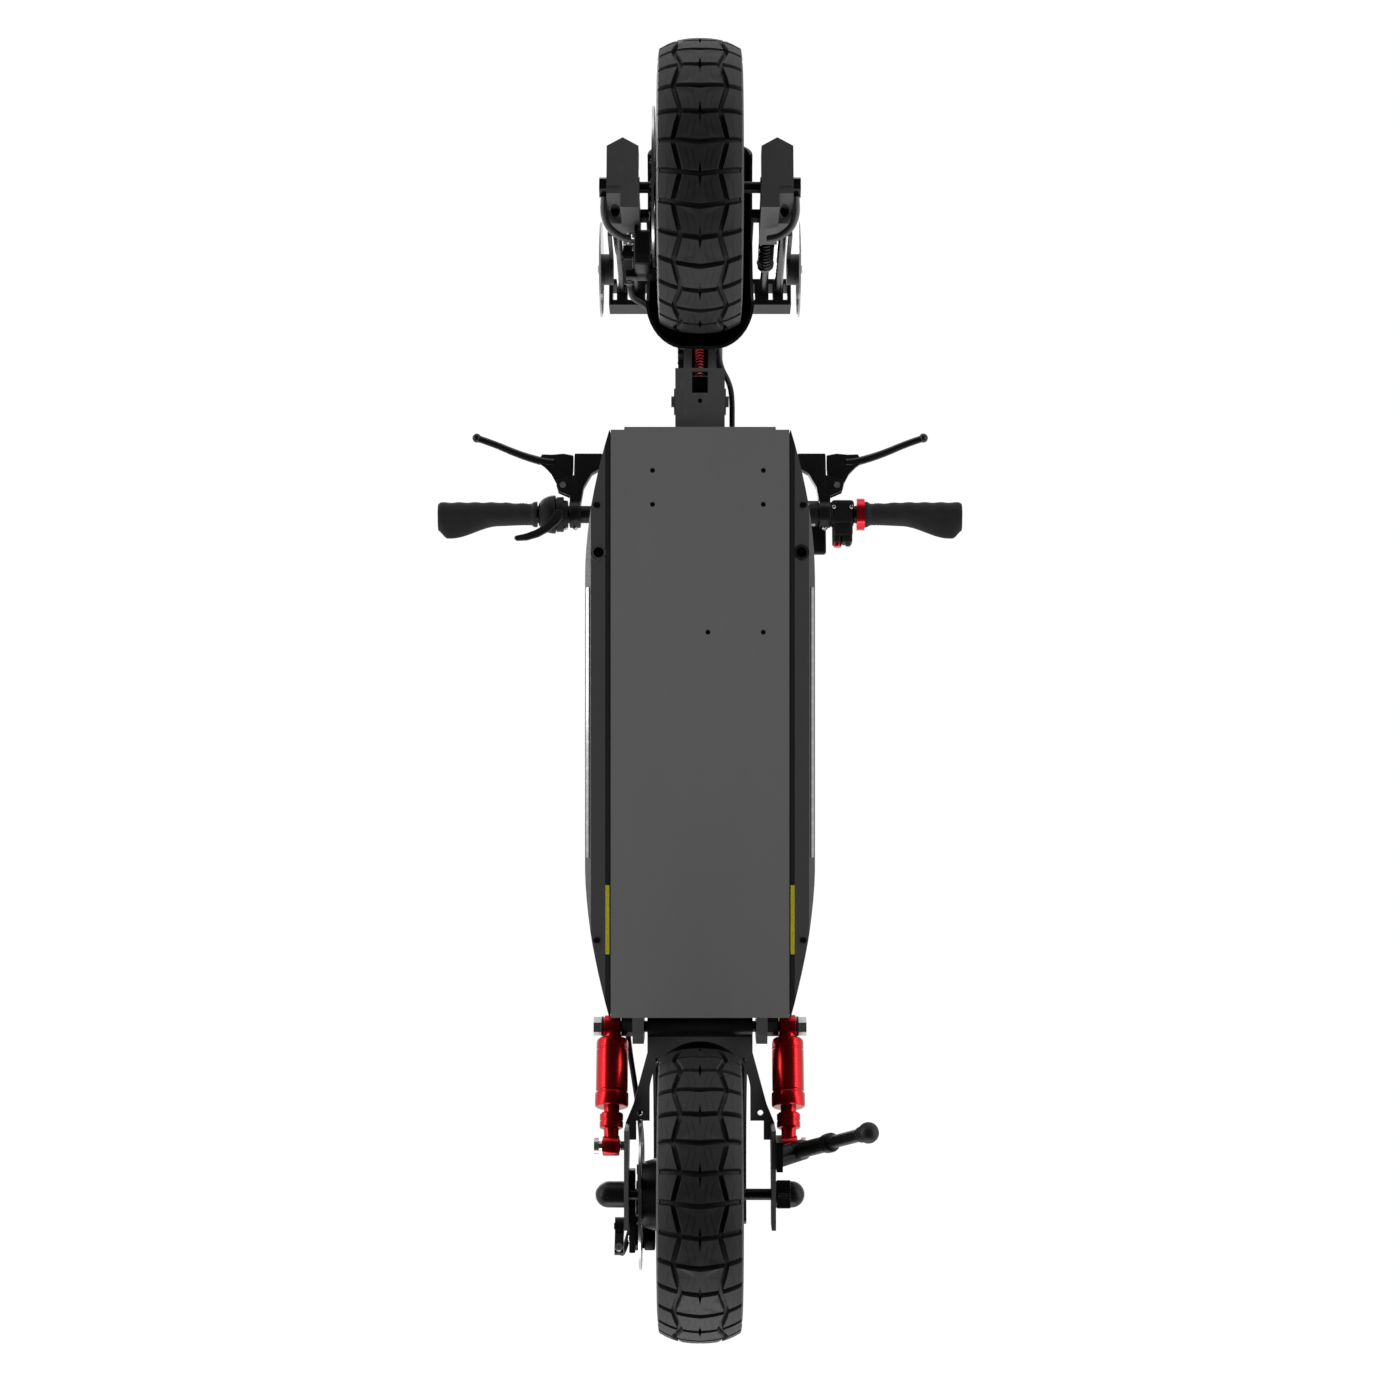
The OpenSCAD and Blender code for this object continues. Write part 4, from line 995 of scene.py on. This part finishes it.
class SCOOTER_OT_controls(bpy.types.Operator):
    """Makes the throttle, the display and the switch pod on the handlebar"""

    bl_idname = "scooter.controls"
    bl_label = "Handlebar controls"

    def execute(self, context):
        throttle = Shape()
        throttle.lathe([
            (11.1, -202), (13.5, -202), (15.4, -201.2), (17.4, -199.6), (19.6, -197), (21.6, -193.6),
            (23.1, -189.4), (23.9, -185), (24, -182), (23.4, -181.2), (18.1, -181), (17.6, -180),
            (17.6, -167), (16.8, -165.6), (11.1, -165.5),
        ], BAR @ ALONG_Y, 64, closed=True)
        throttle.make("throttle_case", "black_plastic", "stem", "black_plastic", ["throttle_body"])
        screws = Shape()
        screws.bolt(BAR @ move(-17.2, -169, 0) @ turn(-90, "Y"), 3.2, 2.4)
        screws.bolt(BAR @ move(-13.8, 142, -5) @ turn(-90, "Y"), 2.8, 2.0)
        for y in (167.5, 189.5):
            screws.bolt(BAR @ move(6, y, -13.9) @ turn(180, "X"), 2.6, 1.6)
        screws.make("control_screws", "steel", "stem", "steel")

        trigger = Shape()
        trigger.collar(21.9, 18.15, -180, -171, BAR @ ALONG_Y, 0.7, 56)
        trigger.plate([
            (-2.5, -171.4), (-2.5, -180), (-14, -186.5), (-22, -194), (-28, -204), (-33, -217),
            (-35.6, -229), (-38.6, -231), (-41.6, -228), (-41, -215), (-36.5, -200), (-29, -187),
            (-20, -176.4), (-13.6, -171.4),
        ], -31.8, -25.2, BAR, 2.0, 3)
        trigger.block((-12, -180, -30), (-2.4, -171, -18.6), BAR, 0.8)
        trigger.make(
            "throttle_paddle", "black_plastic", "throttle_trigger", "black_plastic",
            ["throttle_trigger"], sharp=40,
        )

        display = Shape()
        display.block((-45, 134, 19), (24, 159, 30.4), BAR, 4.0, 4)
        display.collar(15, 11.05, 136, 148, BAR @ ALONG_Y, 1.0)
        display.block((-11, 136, 9), (11, 148, 20), BAR, 1.2)
        display.make("display_case", "black_plastic", "stem", "black_plastic", ["display"], sharp=45)
        glass = Shape().block((-40, 136.5, 29), (19, 156.5, 30.9), BAR, 0.9, 2)
        glass.make("display_glass", "glass", "stem", "black_plastic")

        pod = Shape()
        pod.block((-15, 164, -14), (16, 193, 14), BAR, 5.5, 4)
        pod.block((-30, 166.5, -12), (-12, 191, 12), BAR, 4.0, 3)
        for low, high in ((166.8, 175.6), (177.6, 190.4)):
            pod.block((-37.9, low, -10), (-26, high, 10), BAR, 2.4, 3)
        for y in (169.5, 187.5):
            pod.rod(3.4, -14.0, -8.0, BAR @ move(6, y, 0), 0.6, 20)
        pod.collar(15.5, 11.05, 161, 166, BAR @ ALONG_Y, 1.0)
        pod.block((-37.2, 166, -3), (-10, 178, 15), BAR, 2.0, 3)
        pod.make("switch_case", "black_plastic", "stem", "black_plastic", ["switch_pod"], sharp=45)
        lens = Shape()
        lens.lathe([
            (0, 3.2), (8, 2.9), (15, 1.9), (20, 0.6), (21, 0), (22.6, 0), (23.4, -0.8), (23.4, -3), (0, -3),
        ], FORK @ move(53.0, 0, 494) @ ALONG_X, 64)
        lens.make("lamp_lens", "lens", "stem", "reflector_clear")
        return {"FINISHED"}


class SCOOTER_OT_cables(bpy.types.Operator):
    """Runs the brake cables and the cable along the neck"""

    bl_idname = "scooter.cables"
    bl_label = "Cables"

    brake_route = [
        (68, 119, 0), (67, 104, -1), (62, 84, -5), (54, 64, -12), (45, 46, -23), (36, 31, -38),
        (28, 20, -54), (22, 12, -68), (18.6, 8, -78),
    ]
    front_route = [
        (-46, -63, 58), (-47, -63, 76), (-44, -62, 100), (-38, -59, 126), (-31, -55, 152), (-25, -51, 178),
        (-22, -47, 200), (-20, -42, 214), (-16.5, -38, 220),
    ]
    rear_route = [
        (-56, -71, 34), (-62, -70, 48), (-60, -68, 62), (-48, -64, 72), (-28, -58, 77), (0, -54, 79),
        (28, -53, 79), (56, -55, 78), (84, -59, 77), (110, -63, 76.5), (126, -65, 77), (136, -66, 79),
        (145, -66, 77.5), (149.8, -66, 73), (151.3, -66, 67),
    ]
    neck_route = [
        (0.5, 29, 48), (14, 29, 49), (30, 29, 55), (44, 28, 68), (56, 25, 88), (68, 21, 116), (80, 19, 148),
        (92, 18.5, 182), (102, 18.5, 212), (110, 19, 238), (117, 20, 254),
    ]

    def execute(self, context):
        radius = settings().cable_thickness / MM / 2
        brake = Shape()
        for place in (BAR, BAR @ MIRROR):
            brake.sweep(smooth_path(self.brake_route), radius, place, 12)
        brake.make("bar_cables", "black_plastic", "stem", "black_plastic", ["brake_cables"])
        front = Shape().sweep(smooth_path(self.front_route), radius, FORK, 12)
        piece = front.make("fork_cable", "black_plastic", None, "black_plastic", ["front_cable"])
        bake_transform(piece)
        rear = Shape().sweep(smooth_path(self.rear_route), radius, REAR, 12)
        piece = rear.make("swing_cable", "black_plastic", None, "black_plastic", ["rear_cable"])
        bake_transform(piece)
        neck = Shape().sweep(smooth_path(self.neck_route), radius, move(231, 0, 142), 12)
        neck.make("neck_cable_run", "black_plastic", "chassis", "black_plastic", ["neck_cable"])
        return {"FINISHED"}


class SCOOTER_OT_stand(bpy.types.Operator):
    """Makes the side stand with its collar and rubber foot"""

    bl_idname = "scooter.stand"
    bl_label = "Side stand"

    def execute(self, context):
        leg = Shape()
        leg.collar(9, 4.1, -1.7, 14, STAND @ ALONG_Y, 1.2)
        end = STAND_LENGTH
        leg.lathe([
            (0, 6), (7, 6), (7, 52), (8.2, 53), (8.4, 54.5), (8.4, 61), (8.0, 62.4), (6.6, 63.2), (5.5, 64),
            (5.5, end - 12), (0, end - 12),
        ], STAND_LEG, 40)
        leg.make("stand_leg", "black_coat", "kickstand", "black_metal", ["kickstand"])
        foot = Shape()
        r = STAND_FOOT_R
        rings = [(0, end - 12.4), (6.2, end - 12.4), (6.8, end - 11.6), (6.8, end - 9.6)]
        rings += [
            (r * math.cos(a), end + r * math.sin(a)) for a in (-0.75, -0.5, -0.2, 0.1, 0.4, 0.7, 1.0, 1.3)
        ]
        foot.lathe(rings + [(0, end + r)], STAND_LEG, 40)
        foot.make("stand_foot", "foot", "kickstand", "black_metal")
        return {"FINISHED"}


class SCOOTER_OT_calipers(bpy.types.Operator):
    """Makes the two disc brake calipers"""

    bl_idname = "scooter.calipers"
    bl_label = "Brake calipers"

    def execute(self, context):
        front, bright = Shape(), Shape()
        side = FORK @ ON_SIDE
        front.plate(
            [(-48, 8), (-40, 2), (-20, 2), (-16, 8), (-16, 46), (-20, 50), (-48, 50)], 43.4, 58, side, 2.0, 3
        )
        front.plate([(-48, 12), (-36, 10), (-24, 34), (-20, 50), (-48, 50)], 31, 37.6, side, 1.4, 2)
        front.plate([(-48, 31), (-44.6, 37), (-36.5, 50), (-48, 50)], 32, 57, side, 0.6)
        front.block((-17, -58, 10), (-10.6, -54.1, 40), FORK, 0.8)
        front.rod(3, 57, 70, FORK @ ON_SIDE @ move(-32, 26, 0), 0.6)
        front.lathe([(2.8, 0), (4.6, 0), (4.6, 7), (3.8, 8), (3.8, 15), (2.8, 15)],
                    FORK @ move(-46, -63, 44), 24, closed=True)
        front.block((-50, -66, 34), (-42, -56, 45), FORK, 1.2)
        for x, z in ((-42, 42), (-22, 44), (-22, 8)):
            bright.bolt(side @ move(x, z, 58), 3.4, 2.4)
        for z in (15, 34):
            bright.bolt(FORK @ move(-17, -62, z) @ turn(-90, "Y"), 3.0, 2.4)
        front.make("front_caliper_body", "black_coat", "fork_slider", "black_metal", ["front_caliper"])
        bright.make("front_caliper_bolts", "steel", "fork_slider", "steel")

        rear, bright = Shape(), Shape()
        side = REAR @ ON_SIDE
        rear.plate(
            [(-56, 30), (-50, 24), (-26, 24), (-22, 30), (-22, 54), (-27, 58), (-56, 58)],
            54.4, 62.6, side, 1.6, 3,
        )
        rear.plate([(-56, 30), (-46, 26), (-30, 40), (-24, 58), (-56, 58)], 40, 49.6, side, 1.4, 2)
        rear.plate([(-56, 39), (-50.6, 46.6), (-37, 58), (-56, 58)], 41, 62, side, 0.6)
        rear.plate([(-54, 10), (-30, 10), (19, 12), (19, 24), (-24, 24.6), (-54, 26)], 57.2, 62.6, side, 1.0)
        rear.rod(3, 62, 77, side @ move(-36, 40, 0), 0.6)
        for x, z in ((-50, 52), (-28, 52)):
            bright.bolt(side @ move(x, z, 62.6), 3.0, 2.0)
        rear.make("rear_caliper_body", "black_coat", "swing_arm", "black_metal", ["rear_caliper"])
        bright.make("rear_caliper_bolts", "steel", "swing_arm", "steel")

        barrel = Shape()
        barrel.lathe([(0.8, -9), (3.4, -9), (3.4, -3), (2.6, -2.4), (2.6, 6), (0.8, 6)],
                     REAR @ move(-54, -72, 26) @ turn(-28, "Y"), 20, closed=True)
        barrel.make("rear_cable_barrel", "steel", "rear_brake_arm", "steel")
        return {"FINISHED"}


class SCOOTER_OT_fittings(bpy.types.Operator):
    """Adds the front mudguard and the small fittings: fork stays, axle nut and bolts"""

    bl_idname = "scooter.fittings"
    bl_label = "Small fittings"

    def mudguard(self):
        """A bent sheet over the front tyre, rounded down at both sides, with its two stays."""
        reach, flat, wide, bend, thick = 141.1, 12.0, 36.0, 42.0, 2.6
        first, last, steps = 61.5, 175.5, 44
        turns = [(-1, a) for a in range(90, -1, -9)] + [(1, a) for a in range(0, 91, 9)]
        outer, inner = [], []
        for side, angle in turns:
            c, s = math.cos(math.radians(angle)), math.sin(math.radians(angle))
            outer.append((reach - bend * (1 - c), side * (flat + wide * s)))
            inner.append((reach - bend + (bend - thick) * c, side * (flat + (wide - thick) * s)))
        ring = outer + inner[::-1]
        count, across = len(ring), len(outer)
        points = []
        for i in range(steps + 1):
            a = math.radians(first + (last - first) * i / steps)
            points += [(r * math.cos(a), y, r * math.sin(a)) for r, y in ring]
        faces = bands(steps, count)
        for base in (0, steps * count):
            for k in range(across - 1):
                faces.append((base + k, base + k + 1, base + count - 2 - k, base + count - 1 - k))
        guard = Shape()
        guard.add(points, faces, move(*FRONT_HUB.translation))
        stay = FRONT_HUB @ ON_SIDE
        for low, high, foot in ((45.4, 48.0, 53.0), (-48.0, -45.4, -53.0)):
            guard.plate([(-14, 100.6), (4, 100.6), (-4, 42), (-16, 42)], low, high, stay, 0.5)
            edges = (low, foot) if foot > 0 else (foot, high)
            guard.plate([(-16, 42.5), (-4, 42.5), (-8, 30), (-16, 30)], *edges, stay, 0.5)
        guard.make(
            "front_mudguard", "black_plastic", "fork_slider", "black_plastic", ["front_fender"], sharp=40
        )

    def execute(self, context):
        self.mudguard()
        stays, nuts = Shape(), Shape()
        for side in SIDES:
            path = smooth_path([
                (10, side * 84.4, -2), (-4, side * 84.4, 2), (-14, side * 80, 8), (-20, side * 70, 14),
                (-21, side * 60, 18),
            ])
            stays.sweep(path, 3.2, FORK, 12, [4.6] * len(path))
            nuts.bolt(FORK @ move(-19.5, side * 92.6, 95) @ turn(-90 * side, "X"), 3.4, 0.9)
        stays.make("fork_bent_stays", "frame_grey", "fork_slider", "deck_metal")
        nuts.make("fork_reflector_bolts", "steel", "fork_slider", "steel")
        knurl = Shape()
        teeth = 44
        points = []
        rings = ((67.2, 0.94), (68.0, 1.0), (79.0, 1.0), (79.8, 0.94))
        for y, scale in rings:
            for k in range(teeth * 2):
                a = math.pi * k / teeth
                r = (12.3 if k % 2 else 11.55) * scale
                points.append((r * math.cos(a), r * math.sin(a), y))
        count = teeth * 2
        faces = bands(3, count)
        faces += [tuple(range(count)), tuple(range(3 * count, 4 * count))]
        knurl.add(points, faces, REAR @ ALONG_Y)
        knurl.make("rear_axle_knurled_nut", "black_coat", "swing_arm", "black_metal")
        return {"FINISHED"}


class SCOOTER_OT_stage(bpy.types.Operator):
    """Sets the floor, the studio light and the camera under the scooter"""

    bl_idname = "scooter.stage"
    bl_label = "Stage"

    eye = Vector((-0.008, 0.0, -2.155))
    lens, film_width = 66.7, 36.0

    def floor(self):
        """A pale floor that shows only from above, and lets the lights below through."""
        mesh = bpy.data.meshes.new("floor")
        work = bmesh.new()
        bmesh.ops.create_grid(work, x_segments=24, y_segments=24, size=5.0)
        work.to_mesh(mesh)
        work.free()
        floor = bpy.data.objects.new("floor", mesh)
        bpy.context.scene.collection.objects.link(floor)
        floor.location.z = -0.0005
        f = Finish("finish_floor")
        soft = f.noise(1.5, 3)
        f.set("Base Color", f.mix(soft, (0.8, 0.8, 0.8), (0.84, 0.84, 0.84)))
        f.set("Roughness", 0.75 + soft * 0.1)
        tree = f.tree
        output = next(n for n in tree.nodes if n.type == "OUTPUT_MATERIAL")
        back = f.node("ShaderNodeNewGeometry", out="Backfacing")
        clear = f.node("ShaderNodeBsdfTransparent")
        both = f.node("ShaderNodeMixShader", None, {0: back, 1: Field(f, f.shader.outputs[0]), 2: clear})
        tree.links.new(both.socket, output.inputs[0])
        mesh.materials.append(f.material)
        floor.visible_shadow = False
        floor.visible_diffuse = False
        floor.visible_glossy = False

    def world(self):
        """White overhead, bright round the horizon, quieter straight below."""
        look = settings()
        world = bpy.data.worlds.new("studio")
        world.use_nodes = True
        tree = world.node_tree
        tree.nodes.clear()
        place = tree.nodes.new("ShaderNodeTexCoord")
        parts = tree.nodes.new("ShaderNodeSeparateXYZ")
        ramp = tree.nodes.new("ShaderNodeValToRGB")
        lift = tree.nodes.new("ShaderNodeMapRange")
        light = tree.nodes.new("ShaderNodeBackground")
        output = tree.nodes.new("ShaderNodeOutputWorld")
        lift.inputs[1].default_value = -1.0
        lift.inputs[2].default_value = 1.0
        stops = (
            (0.0, look.light_below), (0.26, look.light_below * 1.5), (0.44, look.light_around),
            (0.56, look.light_around), (0.7, 1.02), (1.0, 1.02),
        )
        top = max(value for _, value in stops)
        elements = ramp.color_ramp.elements
        while len(elements) < len(stops):
            elements.new(0.5)
        for element, (position, value) in zip(elements, stops):
            element.position = position
            element.color = (value / top, value / top, value / top, 1.0)
        light.inputs[1].default_value = top
        tree.links.new(place.outputs["Generated"], parts.inputs[0])
        tree.links.new(parts.outputs[2], lift.inputs[0])
        tree.links.new(lift.outputs[0], ramp.inputs[0])
        tree.links.new(ramp.outputs[0], light.inputs[0])
        tree.links.new(light.outputs[0], output.inputs[0])
        bpy.context.scene.world = world

    def lamp(self, name, place, aim, width, height, power):
        data = bpy.data.lights.new(name, "AREA")
        data.shape = "RECTANGLE"
        data.size, data.size_y = width, height
        data.energy = power
        lamp = bpy.data.objects.new(name, data)
        bpy.context.scene.collection.objects.link(lamp)
        lamp.location = place
        lamp.rotation_euler = (Vector(aim) - Vector(place)).to_track_quat("-Z", "Y").to_euler()
        lamp.visible_camera = False

    def execute(self, context):
        look = settings()
        self.floor()
        self.world()
        power = look.lamp_power
        self.lamp("side_lamp_left", (0.2, 2.2, -0.7), (0, 0, 0.3), 2.6, 0.8, power)
        self.lamp("side_lamp_right", (0.2, -2.2, -0.7), (0, 0, 0.3), 2.6, 0.8, power)
        self.lamp("tail_lamp", (-2.4, 0.0, -0.2), (-0.4, 0, 0.2), 1.6, 0.8, power * 0.7)
        self.lamp("top_lamp", (0.6, -1.2, 3.0), (0, 0, 0.4), 1.8, 1.8, power * 1.6)
        data = bpy.data.cameras.new("camera")
        data.lens = self.lens
        data.sensor_width = self.film_width
        data.clip_start = 0.01
        data.clip_end = 60.0
        camera = bpy.data.objects.new("camera", data)
        bpy.context.scene.collection.objects.link(camera)
        camera.matrix_world = Matrix.Translation(self.eye) @ Matrix(
            ((0, 1, 0, 0), (1, 0, 0, 0), (0, 0, -1, 0), (0, 0, 0, 1))
        )
        bpy.context.scene.camera = camera
        bpy.context.scene.view_settings.view_transform = "Standard"
        return {"FINISHED"}


# Panel and settings -----------------------------------------------------------


class ScooterLooks(bpy.types.PropertyGroup):
    """Sizes and colours that can be changed before the pieces are made."""

    tread_depth: FloatProperty(
        name="Tread depth", description="Height of the tread blocks", default=0.0056, unit="LENGTH")
    groove_width: FloatProperty(
        name="Slot width", description="Width of the slots across the tread", default=0.0038, unit="LENGTH")
    tread_pairs: IntProperty(
        name="Tread pairs", description="Pairs of block rows round one tyre", default=15, min=8, max=24)
    cable_thickness: FloatProperty(
        name="Cable thickness", description="Outer diameter of the cables", default=0.005, unit="LENGTH")
    frame_colour: FloatVectorProperty(
        name="Frame", description="Coat of the deck frame and swing arm", default=(0.085, 0.085, 0.085),
        subtype="COLOR", min=0, max=1)
    plate_colour: FloatVectorProperty(
        name="Bottom plate", description="Coat of the bottom plate", default=(0.165, 0.165, 0.165),
        subtype="COLOR", min=0, max=1)
    shell_colour: FloatVectorProperty(
        name="Side shells", description="Plastic of the side shells", default=(0.024, 0.024, 0.024),
        subtype="COLOR", min=0, max=1)
    tyre_colour: FloatVectorProperty(
        name="Tyres", description="Rubber of the tyres", default=(0.013, 0.013, 0.013),
        subtype="COLOR", min=0, max=1)
    shock_colour: FloatVectorProperty(
        name="Shock absorbers", description="Lacquer of the shock absorbers", default=(0.36, 0.003, 0.006),
        subtype="COLOR", min=0, max=1)
    ring_colour: FloatVectorProperty(
        name="Red trim", description="Grip ring, spring and horn button", default=(0.5, 0.01, 0.02),
        subtype="COLOR", min=0, max=1)
    reflector_colour: FloatVectorProperty(
        name="Deck reflectors", description="Plastic of the reflectors under the deck",
        default=(0.95, 0.84, 0.06), subtype="COLOR", min=0, max=1)
    light_below: FloatProperty(
        name="Light below", description="Brightness straight below", default=0.03, min=0, max=4)
    light_around: FloatProperty(
        name="Light around", description="Brightness round the horizon", default=1.7, min=0, max=6)
    lamp_power: FloatProperty(
        name="Lamp power", description="Power of each side lamp", default=28.0, min=0, unit="POWER")


OPERATORS = (
    SCOOTER_OT_finishes, SCOOTER_OT_tyres, SCOOTER_OT_springs, SCOOTER_OT_shocks, SCOOTER_OT_grips,
    SCOOTER_OT_levers, SCOOTER_OT_controls, SCOOTER_OT_cables, SCOOTER_OT_stand, SCOOTER_OT_calipers,
    SCOOTER_OT_fittings, SCOOTER_OT_stage,
)


class SCOOTER_PT_panel(bpy.types.Panel):
    """Lists the scooter's settings and makers."""

    bl_idname = "SCOOTER_PT_panel"
    bl_label = "Kick scooter"
    bl_space_type = "VIEW_3D"
    bl_region_type = "UI"
    bl_category = "Scooter"

    def draw(self, context):
        look = context.scene.scooter_looks
        for name in look.bl_rna.properties.keys():
            if name not in ("rna_type", "name"):
                self.layout.prop(look, name)
        for operator in OPERATORS:
            self.layout.operator(operator.bl_idname)


CLASSES = (ScooterLooks, *OPERATORS, SCOOTER_PT_panel)


def register():
    for item in CLASSES:
        bpy.utils.register_class(item)
    bpy.types.Scene.scooter_looks = bpy.props.PointerProperty(type=ScooterLooks)


def unregister():
    del bpy.types.Scene.scooter_looks
    for item in reversed(CLASSES):
        bpy.utils.unregister_class(item)


def main():
    register()
    for operator in OPERATORS:
        group, name = operator.bl_idname.split(".")
        getattr(getattr(bpy.ops, group), name)()


if __name__ == "__main__":
    main()
